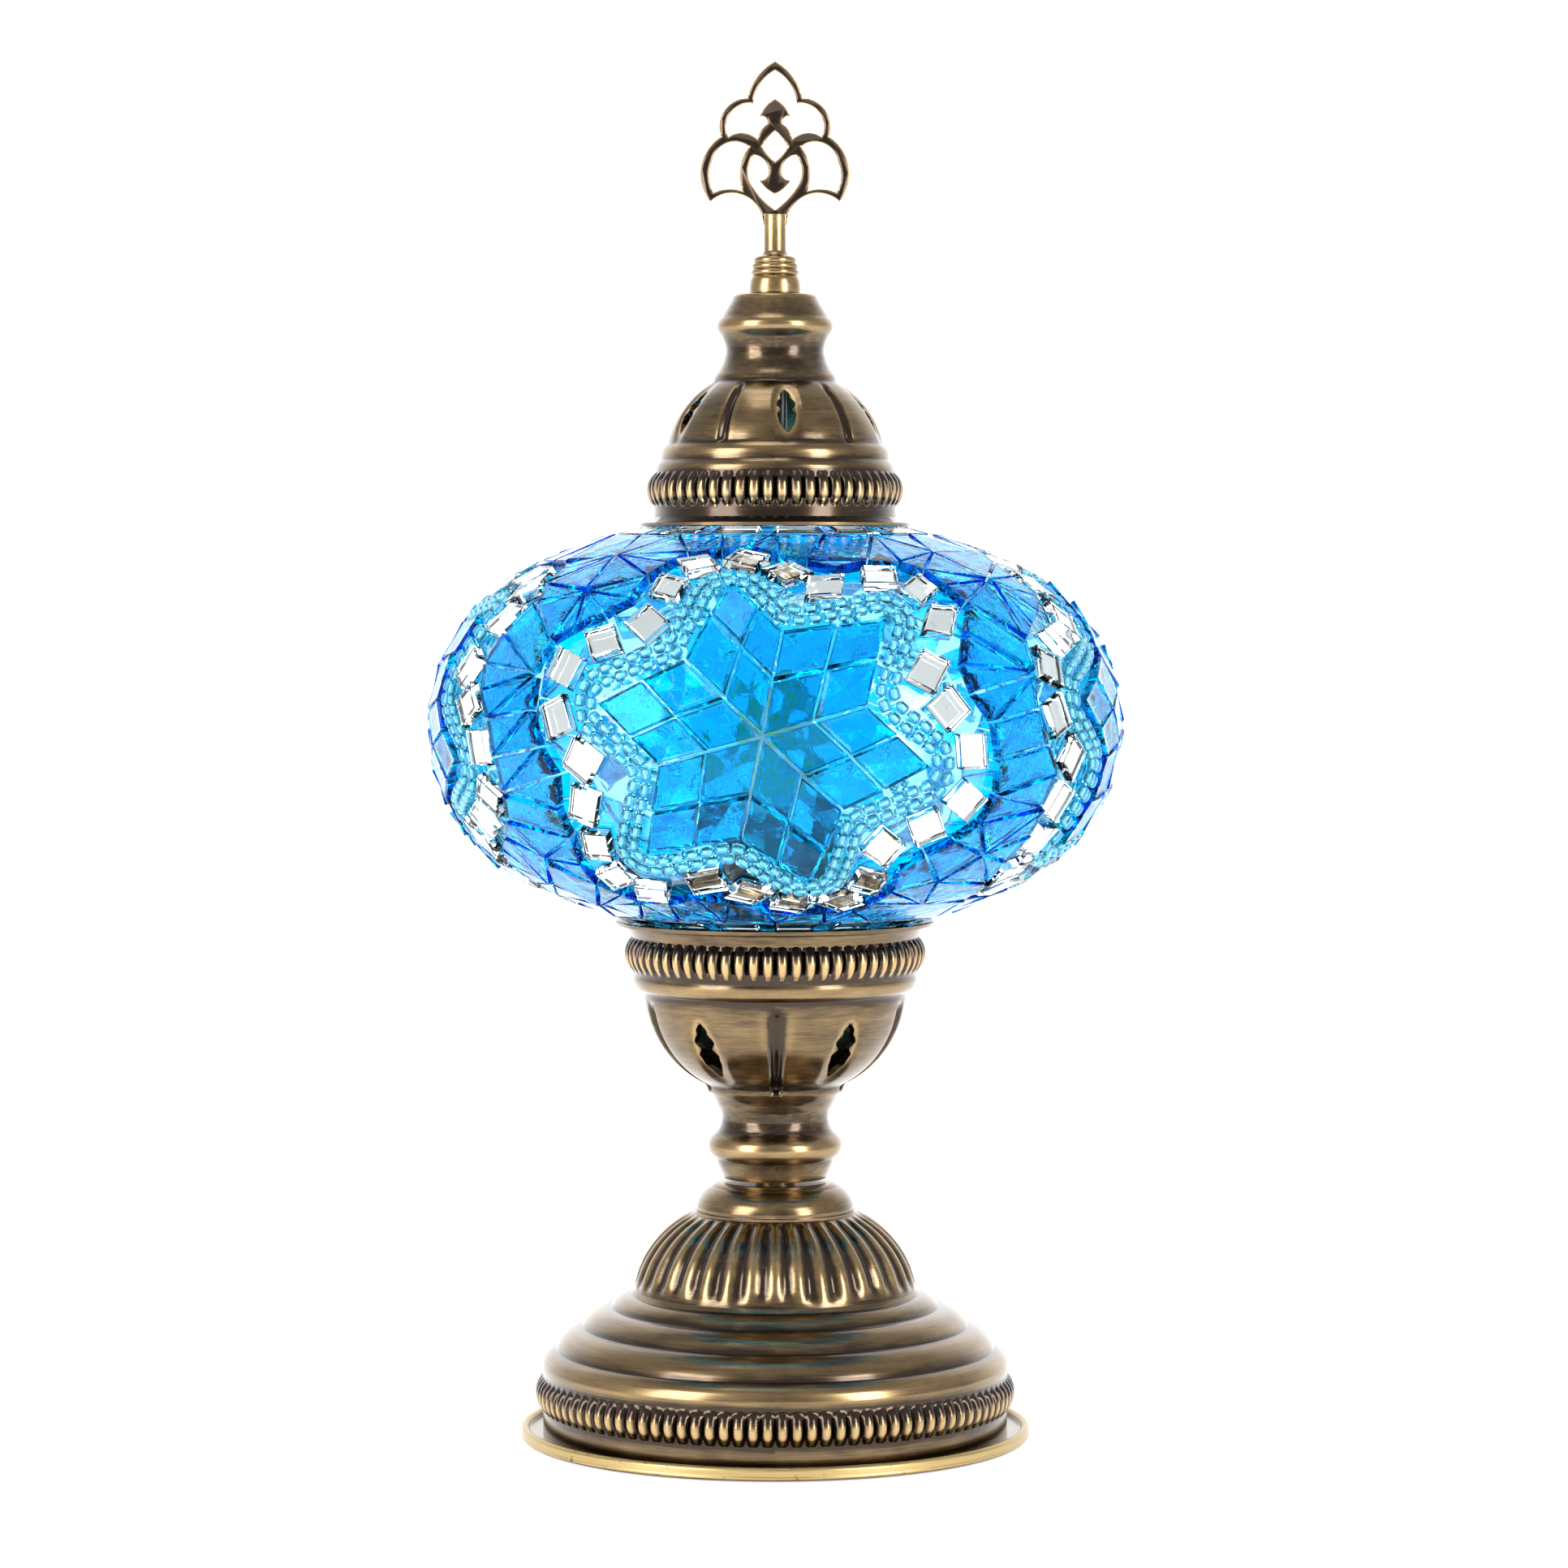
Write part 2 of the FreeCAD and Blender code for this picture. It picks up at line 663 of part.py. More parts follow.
def make_holder():
    bottom, joint, top = s.holder_bottom, s.holder_joint, s.holder_top
    cup = [
        corner(s.tube_clearance, bottom),
        corner(s.holder_radius - 4.5, bottom),
        corner(s.holder_radius, bottom + 4.5, 1.1),
        corner(s.holder_radius, joint),
        corner(s.holder_radius - 1.6, joint),
        corner(s.holder_radius - 1.6, bottom + 4.8),
        corner(s.tube_clearance, bottom + 4.8),
    ]
    node(turned("holder_cup", cup), "holder_cap")

    insert = turned(
        "insert_blank",
        [
            corner(0, joint),
            corner(s.holder_radius - 2.0, joint),
            corner(s.holder_radius - 2.0, joint + 5.0),
            corner(0, joint + 5.0),
        ],
    )
    wells = [
        cylinder(f"insert_well{side}", s.wire_radius + 0.3, 3.0, x=side * 5.0, z=joint - 0.5)
        for side in (-1, 1)
    ]
    node(cut("holder_insert", insert, fuse("insert_wells", *wells)), "holder_insert")

    barrel = [
        corner(s.holder_radius - 1.6, joint + 0.05),
        corner(s.holder_radius, joint + 0.05),
        corner(s.holder_radius, top),
        corner(s.shell_bore + 0.5, top),
        corner(s.shell_bore + 0.5, joint + 5.2),
        corner(s.holder_radius - 1.6, joint + 5.2),
    ]
    node(turned("barrel", barrel), "holder_barrel")
    shell_high = top - 1.0
    node(ring("shell", s.shell_bore, s.shell_bore + 0.4, joint + 5.2, shell_high), "thread_shell")
    node(
        ring("shade_ring_body", s.holder_radius + 0.1, s.ring_radius, top - 9.0, top - 2.0),
        "shade_ring",
    )

    tongue_low = joint + 5.0
    leg = block("tongue_leg", 0.5, 3.0, s.bulb_tip - 0.1 - tongue_low, x=-3.5, z=tongue_low)
    arm = block("tongue_arm", 6.0, 3.0, 0.5, x=-0.7, z=s.bulb_tip - 0.6)
    node(fuse("tongue", leg, arm), "centre_contact")


def make_bulb():
    tip, neck = s.bulb_tip, s.bulb_neck
    glass_low, shell_low = tip + 1.2, tip + 3.6
    node(cylinder("tip", 2.2, 1.2, z=tip), "bulb_tip_contact")
    insulator = turned(
        "insulator",
        [corner(0, glass_low), corner(2.6, glass_low), corner(6.2, shell_low), corner(0, shell_low)],
    )
    node(insulator, "bulb_insulator")
    node(ring("cap_shell", s.thread_radius - 0.4, s.thread_radius, shell_low, neck), "bulb_screw_cap")

    shoulder = s.column_foot - 0.8
    housing = turned(
        "housing",
        [
            corner(0, neck),
            corner(s.thread_radius, neck),
            corner(s.housing_radius, shoulder - 1.6, 0.8),
            corner(s.housing_radius, s.column_foot),
            corner(0, s.column_foot),
        ],
    )
    node(housing, "bulb_housing")

    column = bind(
        doc.addObject("Part::Prism", "column"),
        Height=s.column_top - s.column_foot,
        Circumradius=s.column_flats / math.sqrt(3),
    )
    column.Polygon = 6
    place(column, z=s.column_foot)
    column.Placement.Rotation = Rotation(Vector(0, 0, 1), 12)
    node(column, "led_column")
    node(cylinder("board", s.column_flats * 0.56, 1.0, z=s.column_top), "bulb_top_board")

    chips = []
    rows, pitch, across = 7, 3.5, 2.3
    chip_width, chip_height, chip_depth = 2.6, 1.9, 0.6
    for face in range(6):
        turn = Rotation(Vector(0, 0, 1), 12 + 30 + 60 * face)
        for row in range(rows):
            for side in (-1, 1):
                chip = Part.makeBox(chip_depth, chip_width, chip_height)
                z = s.column_foot.value + 1.6 + row * pitch
                corner_point = Vector(s.column_flats.value / 2, side * across - chip_width / 2, z)
                chip.Placement = Placement(turn.multVec(corner_point), turn)
                chips.append(chip)
    for x in (-4.0, 0.0, 4.0):
        for y in (-2.4, 2.4):
            chips.append(
                Part.makeBox(2.6, 1.9, chip_depth, Vector(x - 1.3, y - 0.95, s.column_top.value + 1.0))
            )
    group("led_chips", chips)


# ---------------------------------------------------------------- globe


def make_globe():
    """Blown glass: two flat polar arcs joined by a tight side arc, and a straight neck at each end."""
    arc, reach = s.globe_side_arc, s.globe_side_centre
    tilt = math.atan2(s.globe_polar_drop.value, s.globe_side_centre.value)
    across, up = math.cos(tilt), math.sin(tilt)
    side_bulge = arc.value * (1 - math.cos(tilt))

    def polar_height(radius):
        return math.sqrt(POLAR_ARC.value**2 - radius**2) - s.globe_polar_drop.value

    def polar_bulge(radius):
        span = math.dist((radius, polar_height(radius)), (across * arc.value + reach.value, up * arc.value))
        return POLAR_ARC.value - math.sqrt(POLAR_ARC.value**2 - span**2 / 4)

    shoulder_r, shoulder_z = reach + arc * across, arc * up
    low, high = s.lower_neck_radius, s.upper_neck_radius
    outline = [
        corner(low, s.lower_neck_end),
        corner(low, s.globe_centre - polar_height(low.value)),
        corner(shoulder_r, s.globe_centre - shoulder_z, polar_bulge(low.value)),
        corner(shoulder_r, s.globe_centre + shoulder_z, side_bulge),
        corner(high, s.globe_centre + polar_height(high.value), polar_bulge(high.value)),
        corner(high, s.upper_neck_end),
    ]
    node(spun("globe", outline, s.glass_wall), "glass_globe")


class GlobeSurface:
    """The outer face of the glass, measured by angle round the axis and arc length from the equator."""

    def __init__(self):
        self.side = s.globe_side_arc.value
        self.reach = s.globe_side_centre.value
        self.polar = POLAR_ARC.value
        self.drop = s.globe_polar_drop.value
        self.turn = math.atan2(self.drop, self.reach)
        self.girth = self.reach + self.side

    def slope(self, along):
        """Angle of the outward normal above the horizon at a distance along the meridian."""
        edge = self.side * self.turn
        if abs(along) <= edge:
            return along / self.side
        return math.copysign(self.turn + (abs(along) - edge) / self.polar, along)

    def section(self, along):
        """Radius and height above the equator at a distance along the meridian."""
        angle = self.slope(along)
        if abs(angle) <= self.turn:
            return self.reach + self.side * math.cos(angle), self.side * math.sin(angle)
        height = self.polar * math.sin(abs(angle)) - self.drop
        return self.polar * math.cos(angle), math.copysign(height, along)

    def point(self, turn, along):
        radius, height = self.section(along)
        z = s.globe_centre.value + height
        return Vector(radius * math.sin(turn), -radius * math.cos(turn), z)

    def normal(self, turn, along):
        angle = self.slope(along)
        return Vector(math.cos(angle) * math.sin(turn), -math.cos(angle) * math.cos(turn), math.sin(angle))

    def along_at_radius(self, radius):
        """Distance from the equator at which the polar face has that radius."""
        return self.side * self.turn + self.polar * (math.acos(radius / self.polar) - self.turn)


# ---------------------------------------------------------------- mosaic


STARS = 4
STAR_TURN = -2.0
LOBE_ANGLES = (44, 101, 170, 226, 285, 350)
NOTCH_ANGLES = (15.5, 80, 136, 195, 258, 317)
BEAD_TIP, BEAD_NOTCH = 52.5, 29.7
TIP_FILLET, NOTCH_FILLET = 7.0, 6.6
PETAL_TIP, PETAL_NOTCH = 41.0, 25.6
BEAD_ROW_OFFSETS = {"bead_row_outer": 1.6, "bead_row_inner": -1.6}
MIRROR_OFFSET, MIRROR_PITCH, MIRROR_GAP, MIRROR_CLEARANCE = 7.6, 11.8, 0.35, 1.05
EASING = 4
NUDGE = 0.25
FIELD_OFFSET, FIELD_GAP, FIELD_EDGE_STEP = 15.4, 2.4, 2.0
FIELD_PITCH = 10.6
QUAD_SHARE = 0.3
UPPER_BAND, LOWER_BAND = (41.0, 34.0), (43.5, 35.5)
GLUE = 0.12
TILE_GAP = 0.42
SHORTEST_EDGE = 1.2
SHARPEST_SLANT = 0.2


def polar(angle, reach):
    """A flat point of a star at an angle in degrees and a distance from its centre."""
    return Vector(reach * math.cos(math.radians(angle)), reach * math.sin(math.radians(angle)), 0)


def star_outline():
    """The closed centre line between the two bead rows, with its tips and notches rounded."""
    corners = []
    for notch, lobe in zip(NOTCH_ANGLES, LOBE_ANGLES):
        corners.append((polar(notch, BEAD_NOTCH), NOTCH_FILLET))
        corners.append((polar(lobe, BEAD_TIP), TIP_FILLET))
    points = []
    count = len(corners)
    for i, (at, fillet) in enumerate(corners):
        back = (corners[i - 1][0] - at).normalize()
        ahead = (corners[(i + 1) % count][0] - at).normalize()
        half = back.getAngle(ahead) / 2
        trim = fillet / math.tan(half)
        inward = (back + ahead).normalize()
        centre = at + inward * (fillet / math.sin(half))
        first, last = at + back * trim - centre, at + ahead * trim - centre
        steps = max(3, round(first.getAngle(last) * fillet))
        sign = 1 if first.cross(last).z > 0 else -1
        for k in range(steps + 1):
            turn = math.degrees(first.getAngle(last)) * k / steps * sign
            points.append(centre + Rotation(Vector(0, 0, 1), turn).multVec(first))
    return points


def offset_line(points, distance):
    """A closed line moved outwards by a distance."""
    moved = []
    for i, point in enumerate(points):
        ahead = points[(i + 1) % len(points)] - points[i - 1]
        outward = Vector(ahead.y, -ahead.x, 0).normalize()
        moved.append(point + outward * distance)
    return moved


def stepped(points, pitch):
    """Points at an even pitch, near the one asked for, round a closed line, with their headings."""
    lengths = [(points[i] - points[i - 1]).Length for i in range(len(points))]
    count = round(sum(lengths) / pitch)
    step = sum(lengths) / count
    places, travelled, target = [], 0.0, 0.0
    for i, length in enumerate(lengths):
        heading = points[i] - points[i - 1]
        while target < travelled + length and len(places) < count:
            places.append((points[i - 1] + heading * ((target - travelled) / length), heading.normalize()))
            heading = points[i] - points[i - 1]
            target += step
        travelled += length
    return places


def flat_tile(surface, outline, thickness, gap=TILE_GAP, lift=GLUE):
    """A flat tile tangent to the glass over the middle of its outline of (turn, along) corners."""
    turn = sum(p[0] for p in outline) / len(outline)
    along = sum(p[1] for p in outline) / len(outline)
    normal = surface.normal(turn, along)
    base = surface.point(turn, along) + normal * lift
    corners = [surface.point(*p) for p in outline]
    corners = [p - normal * (p - base).dot(normal) for p in corners]
    corners = [p for i, p in enumerate(corners) if (p - corners[i - 1]).Length > SHORTEST_EDGE]
    shrunk = shrink(corners, normal, gap / 2) if len(corners) > 2 else None
    if shrunk is None:
        return None
    return Part.Face(Part.makePolygon(shrunk + shrunk[:1])).extrude(normal * thickness)


def shrink(corners, normal, distance):
    """Moves every edge of a flat convex polygon inwards; None if too little of it would be left."""
    count = len(corners)
    edges = []
    for i in range(count):
        heading = (corners[(i + 1) % count] - corners[i]).normalize()
        inward = normal.cross(heading)
        edges.append((corners[i] + inward * distance, heading, inward))
    moved = []
    for i in range(count):
        (first, direction, _), (second, _, inward) = edges[i - 1], edges[i]
        slant = direction.dot(inward)
        if abs(slant) < SHARPEST_SLANT:
            return None
        moved.append(first + direction * ((second - first).dot(inward) / slant))
    for i in range(count):
        if (moved[(i + 1) % count] - moved[i]).dot(edges[i][1]) < SHORTEST_EDGE:
            return None
    return moved


def on_globe(surface, turn_of_star, point):
    """Wraps a flat point of a star, in millimetres, on to the globe as (turn, along)."""
    radius, _ = surface.section(point.y)
    return turn_of_star + point.x / radius, point.y


def star_turns():
    return [math.radians(STAR_TURN + 360 / STARS * k) for k in range(STARS)]


def make_star_tiles(surface):
    """Six pointed petals in each star, each cut into four by two uneven cuts."""
    chance = random.Random(3)
    tiles = []
    for turn in star_turns():
        for k, lobe in enumerate(LOBE_ANGLES):
            centre, tip = Vector(), polar(lobe, PETAL_TIP)
            right = polar(NOTCH_ANGLES[k], PETAL_NOTCH)
            left = polar(NOTCH_ANGLES[(k + 1) % len(NOTCH_ANGLES)], PETAL_NOTCH)
            rim = [centre, right, tip, left]
            cuts = [
                rim[i] + (rim[(i + 1) % 4] - rim[i]) * chance.uniform(0.45, 0.55) for i in range(4)
            ]
            middle = (cuts[0] + cuts[1] + cuts[2] + cuts[3]) * 0.25
            for i in range(4):
                quad = [rim[i], cuts[i], middle, cuts[i - 1]]
                outline = [on_globe(surface, turn, point) for point in quad]
                tiles.append(flat_tile(surface, outline, s.tile_thickness.value))
    group("star_tiles", [t for t in tiles if t])


def make_bead():
    """One bead about the Z axis, with eased ends."""
    half, radius = s.bead_length.value / 2, s.bead_radius.value
    outline = [
        Vector(0, 0, -half),
        Vector(radius * 0.6, 0, -half),
        Vector(radius, 0, -half * 0.55),
        Vector(radius, 0, half * 0.55),
        Vector(radius * 0.6, 0, half),
        Vector(0, 0, half),
    ]
    return Part.Face(Part.makePolygon(outline + outline[:1])).revolve(Vector(), Vector(0, 0, 1), 360)


def make_beads(surface):
    """Two rows of glass beads round each star, each bead lying along its row."""
    line = star_outline()
    bead = make_bead()
    reach = 0.5
    for label, distance in BEAD_ROW_OFFSETS.items():
        beads = []
        for turn in star_turns():
            for spot, heading in stepped(offset_line(line, distance), s.bead_pitch.value):
                before, here, after = [
                    on_globe(surface, turn, spot + heading * step) for step in (-reach, 0, reach)
                ]
                axis = surface.point(*after) - surface.point(*before)
                centre = surface.point(*here) + surface.normal(*here) * (s.bead_radius.value + GLUE)
                copy = bead.copy()
                copy.Placement = Placement(centre, Rotation(Vector(0, 0, 1), axis))
                beads.append(copy)
        group(label, beads)


def smoothed(points, reach):
    """A closed line with its corners eased, by averaging each point with its neighbours."""
    count = len(points)
    eased = []
    for i in range(count):
        near = [points[(i + k) % count] for k in range(-reach, reach + 1)]
        eased.append(sum(near[1:], near[0]) * (1 / len(near)))
    return eased


def mirror_outline(point, heading, half, slant):
    """Corners of one loose mirror, square or slanted, on the flat star."""
    across = Vector(-heading.y, heading.x, 0)
    return [
        point + heading * (half * (a + slant * b)) + across * (half * 0.92 * b)
        for a, b in ((-1, -1), (1, -1), (1, 1), (-1, 1))
    ]


def mirror_outlines():
    """Square and slanted mirrors laid unevenly, each pushed outwards until it clears its neighbours."""
    chance = random.Random(7)
    line = star_outline()
    clear_of_beads = s.bead_radius.value + BEAD_ROW_OFFSETS["bead_row_outer"] + MIRROR_CLEARANCE
    laid = []
    for point, heading in stepped(smoothed(offset_line(line, MIRROR_OFFSET), EASING), MIRROR_PITCH):
        heading = Rotation(Vector(0, 0, 1), chance.uniform(-14, 14)).multVec(heading)
        half = s.mirror_size.value / 2 * chance.uniform(0.93, 1.0)
        slant = chance.uniform(-0.16, 0.16)
        outward = Vector(point).normalize()
        outline = mirror_outline(point, heading, half, slant)
        while least_gap(outline, line) < clear_of_beads or any(
            least_gap(outline, rim(other)) < MIRROR_GAP for other in laid
        ):
            point = point + outward * NUDGE
            outline = mirror_outline(point, heading, half, slant)
        laid.append(outline)
    return laid


def make_mirrors(surface):
    mirrors = []
    for turn in star_turns():
        for corners in mirror_outlines():
            outline = [on_globe(surface, turn, corner_point) for corner_point in corners]
            mirrors.append(flat_tile(surface, outline, s.tile_thickness.value, gap=0.1))
    group("mirror_tiles", mirrors)


def rim(corners):
    """Points along the sides of a small polygon."""
    points, steps = [], 6
    for start, end in zip(corners, corners[1:] + corners[:1]):
        points += [start + (end - start) * (k / steps) for k in range(steps)]
    return points


def least_gap(corners, points):
    """The least distance from a small polygon's sides to some points; nothing if one lies inside it."""
    if any(inside(point, corners) for point in points):
        return 0.0
    return min((a - b).Length for a in rim(corners) for b in points)


def field_limits(surface):
    """How far down and up the field of blue tiles reaches along the meridian."""
    clear = 0.6
    low, high = (surface.along_at_radius(band[0] + clear) for band in (LOWER_BAND, UPPER_BAND))
    return -low, high


def turn_between(centre, turn):
    """The turn from centre to turn, the short way round."""
    return (turn - centre + math.pi) % (2 * math.pi) - math.pi


def inside(point, line):
    """Whether a flat point lies inside a closed line."""
    crossings = 0
    for start, end in zip(line, line[1:] + line[:1]):
        if (start.y > point.y) != (end.y > point.y):
            x = start.x + (end.x - start.x) * (point.y - start.y) / (end.y - start.y)
            crossings += x > point.x
    return crossings % 2 == 1


def in_a_star(surface, edge, turn, along):
    """Whether a place on the globe lies within the ring of mirrors of any star."""
    radius, _ = surface.section(along)
    return any(inside(Vector(turn_between(c, turn) * radius, along, 0), edge) for c in star_turns())


def field_edge():
    """The flat closed line round a star where the field begins, kept clear of every mirror."""
    mirrors = mirror_outlines()
    line = smoothed(offset_line(star_outline(), FIELD_OFFSET), EASING)
    edge = []
    for point, _ in stepped(line, FIELD_EDGE_STEP):
        outward = Vector(point).normalize()
        while any(least_gap(mirror, [point]) < FIELD_GAP for mirror in mirrors):
            point = point + outward * NUDGE
        edge.append(point)
    return edge


def field_corners(surface, edge):
    """Corners of the field's tiles: along its edges, then scattered no closer than one pitch."""
    chance = random.Random(21)
    low, high = field_limits(surface)
    corners = []
    for along in (low, high):
        count = round(2 * math.pi * surface.section(along)[0] / (FIELD_PITCH * 1.15))
        corners += [(2 * math.pi * k / count, along) for k in range(count)]
    for centre in star_turns():
        for point, _ in stepped(edge, FIELD_PITCH * 0.85):
            turn, along = on_globe(surface, centre, point)
            corners.append((turn % (2 * math.pi), along))
    places = [surface.point(*corner_point) for corner_point in corners]
    for _ in range(9000):
        turn, along = chance.uniform(0, 2 * math.pi), chance.uniform(low + 4, high - 4)
        place_there = surface.point(turn, along)
        if min((place_there - other).Length for other in places) < FIELD_PITCH:
            continue
        if not in_a_star(surface, edge, turn, along):
            corners.append((turn, along))
            places.append(place_there)
    return corners


def conformal(surface, low, high):
    """Maps distance along the meridian to a height that keeps shapes true when turns are widths."""
    steps = 200
    heights = [0.0]
    for k in range(steps):
        radius, _ = surface.section(low + (high - low) * (k + 0.5) / steps)
        heights.append(heights[-1] + (high - low) / steps / radius)

    def height(along):
        place_in_table = min(max((along - low) / (high - low) * steps, 0.0), steps - 1e-6)
        k = int(place_in_table)
        return heights[k] + (heights[k + 1] - heights[k]) * (place_in_table - k)

    return height


def triangulated(points):
    """Delaunay triangles of flat points, as triples of indices, anticlockwise."""
    far = 50.0
    points = points + [(-far, -far), (far, -far), (0.0, far)]
    count = len(points) - 3
    triangles = {(count, count + 1, count + 2): circle_through(points, count, count + 1, count + 2)}
    for i in range(count):
        x, y = points[i]
        broken = [t for t, (cx, cy, rr) in triangles.items() if (x - cx) ** 2 + (y - cy) ** 2 < rr]
        sides = [(t[k], t[(k + 1) % 3]) for t in broken for k in range(3)]
        for triangle in broken:
            del triangles[triangle]
        for a, b in sides:
            if (b, a) not in sides:
                triangles[(a, b, i)] = circle_through(points, a, b, i)
    return [t for t in triangles if max(t) < count]


def circle_through(points, a, b, c):
    """Centre and squared radius of the circle through three points."""
    (ax, ay), (bx, by), (cx, cy) = points[a], points[b], points[c]
    bx, by, cx, cy = bx - ax, by - ay, cx - ax, cy - ay
    twice = 2 * (bx * cy - by * cx)
    x = (cy * (bx * bx + by * by) - by * (cx * cx + cy * cy)) / twice
    y = (bx * (cx * cx + cy * cy) - cx * (bx * bx + by * by)) / twice
    return ax + x, ay + y, x * x + y * y


def make_field(surface):
    """Irregular three- and four-sided tiles that fill the globe between the stars and the bands."""
    chance = random.Random(4)
    edge = field_edge()
    corners = field_corners(surface, edge)
    corners += [(turn + shift, along) for turn, along in corners for shift in (-2 * math.pi, 2 * math.pi)]
    height = conformal(surface, *field_limits(surface))
    nudge = random.Random(9)
    flat = [(turn + nudge.uniform(0, 1e-6), height(along)) for turn, along in corners]
    outlines = []
    for triangle in triangulated(flat):
        turn, along = (sum(corners[i][k] for i in triangle) / 3 for k in (0, 1))
        if -0.3 <= turn < 2 * math.pi + 0.3 and not in_a_star(surface, edge, turn, along):
            outlines.append(list(triangle))
    outlines = paired(surface, chance, outlines, corners)
    tiles = []
    for outline in outlines:
        turn = sum(corners[i][0] for i in outline) / len(outline)
        if 0 <= turn < 2 * math.pi:
            tiles.append(flat_tile(surface, [corners[i] for i in outline], s.tile_thickness.value))
    group("field_tiles", [t for t in tiles if t])


def paired(surface, chance, triangles, corners):
    """Joins some neighbouring triangles into four-sided tiles."""
    owner = {(t[k], t[(k + 1) % 3]): n for n, t in enumerate(triangles) for k in range(3)}
    used, outlines = set(), []
    for n, triangle in enumerate(triangles):
        if n in used:
            continue
        used.add(n)
        outlines.append(triangle)
        if chance.random() > QUAD_SHARE:
            continue
        for k in range(3):
            a, b, apex = triangle[k], triangle[(k + 1) % 3], triangle[(k + 2) % 3]
            other = owner.get((b, a))
            if other is None or other in used:
                continue
            far_apex = (set(triangles[other]) - {a, b}).pop()
            quad = [apex, a, far_apex, b]
            if well_shaped([surface.point(*corners[i]) for i in quad]):
                outlines[-1] = quad
                used.add(other)
                break
    return outlines


def well_shaped(points):
    """Whether every corner of a four-sided tile is between 50 and 140 degrees."""
    for i, at in enumerate(points):
        angle = math.degrees((points[i - 1] - at).getAngle(points[(i + 1) % 4] - at))
        if not 50 < angle < 140:
            return False
    return True


def make_bands(surface):
    """A row of mirrors next to each metal lip, with a narrow pale tile between each two."""
    pale, mirrors = [], []
    chance = random.Random(5)
    for sign, (outer, inner), count in ((1, UPPER_BAND, 16), (-1, LOWER_BAND, 17)):
        edges = sorted(sign * surface.along_at_radius(radius) for radius in (outer, inner))
        pair = 2 * math.pi / count
        for k in range(count):
            start = k * pair
            split = start + pair * chance.uniform(0.70, 0.80)
            for tiles, ends in ((mirrors, (start, split)), (pale, (split, start + pair))):
                outline = [
                    (ends[0], edges[0]),
                    (ends[1], edges[0]),
                    (ends[1], edges[1]),
                    (ends[0], edges[1]),
                ]
                tiles.append(flat_tile(surface, outline, s.tile_thickness.value))
    group("band_tiles", pale)
    group("band_mirrors", mirrors)


def make_mosaic():
    surface = GlobeSurface()
    make_star_tiles(surface)
    make_beads(surface)
    make_mirrors(surface)
    make_field(surface)
    make_bands(surface)


# ---------------------------------------------------------------- cap and finial


def make_cap():
    band_low = s.cap_band_height - s.band_half_height
    band_high = s.cap_band_height + s.band_half_height
    cap = [
        corner(s.cap_lip_radius, s.cap_lip_height),
        corner(s.cap_skirt_radius, s.cap_lip_height + 1.6, -0.3),
        corner(s.cap_skirt_radius, band_low),
        corner(s.cap_band_radius - 2.0, band_high, 2.0),
        corner(s.cap_dome_radius + 2.0, band_high + 2.6, 0.3),
        corner(s.cap_dome_radius + 1.5, band_high + 3.2),
        corner(s.cap_dome_radius + 0.8, s.cap_dome_foot - 0.6, 0.4),
        corner(s.cap_dome_radius, s.cap_dome_foot),
        corner(s.cap_neck_radius + 3.4, s.cap_dome_top, 2.1),
        corner(s.cap_neck_radius + 2.8, s.cap_dome_top + 1.6),
        corner(s.cap_neck_radius, s.cap_neck_height, -0.5),
        corner(s.cap_knop_radius - 0.7, s.cap_knop_height - 2.0, -0.3),
        corner(s.cap_knop_radius - 0.9, s.cap_knop_height + 2.3, 1.1),
        corner(s.cap_knop_radius - 3.6, s.cap_top - 1.2),
        corner(s.cap_knop_radius - 5.0, s.cap_top, 0.4),
        corner(s.stud_radius + 0.1, s.cap_top),
    ]
    shell = spun("cap_shell_blank", cap, s.wall)
    slots = 5
    cap_slot_turn = 7
    pierced_cap = pierced(
        "top_cap",
        shell,
        s.cap_slot_low,
        s.cap_slot_high,
        s.cap_slot_width,
        s.cap_dome_radius + 6,
        slots,
        cap_slot_turn,
    )
    node(pierced_cap, "top_cap")

    bar_low, bar_high = s.upper_neck_end, s.upper_neck_end + s.strap_thickness
    leg_out = s.upper_neck_radius - s.glass_wall - 1.0
    leg_in = leg_out - s.strap_thickness
    half = [
        corner(0, bar_low),
        corner(leg_in, bar_low),
        corner(leg_in, bar_low - s.strap_drop),
        corner(leg_out, bar_low - s.strap_drop),
        corner(leg_out, bar_low),
        corner(s.strap_reach, bar_low),
        corner(s.strap_reach, bar_high),
        corner(0, bar_high),
    ]
    strap = padded("strap_plate", "XZ_Plane", s.strap_width, mirrored(half))
    hole = cylinder("strap_hole", s.stud_radius + 0.1, 8.0, z=bar_low - 3)
    node(cut("cap_strap", strap, hole), "cap_strap")
    node(cylinder("stud", s.stud_radius, s.stud_top - s.stud_bottom, z=s.stud_bottom), "finial_stud")
    nut_flats, nut_height = 10.0, 4.0
    node(hex_nut("upper_strap_nut", nut_flats, s.stud_radius + 0.1, nut_height, bar_high), "strap_upper_nut")
    node(
        hex_nut("lower_strap_nut", nut_flats, s.stud_radius + 0.1, nut_height, bar_low - nut_height),
        "strap_lower_nut",
    )


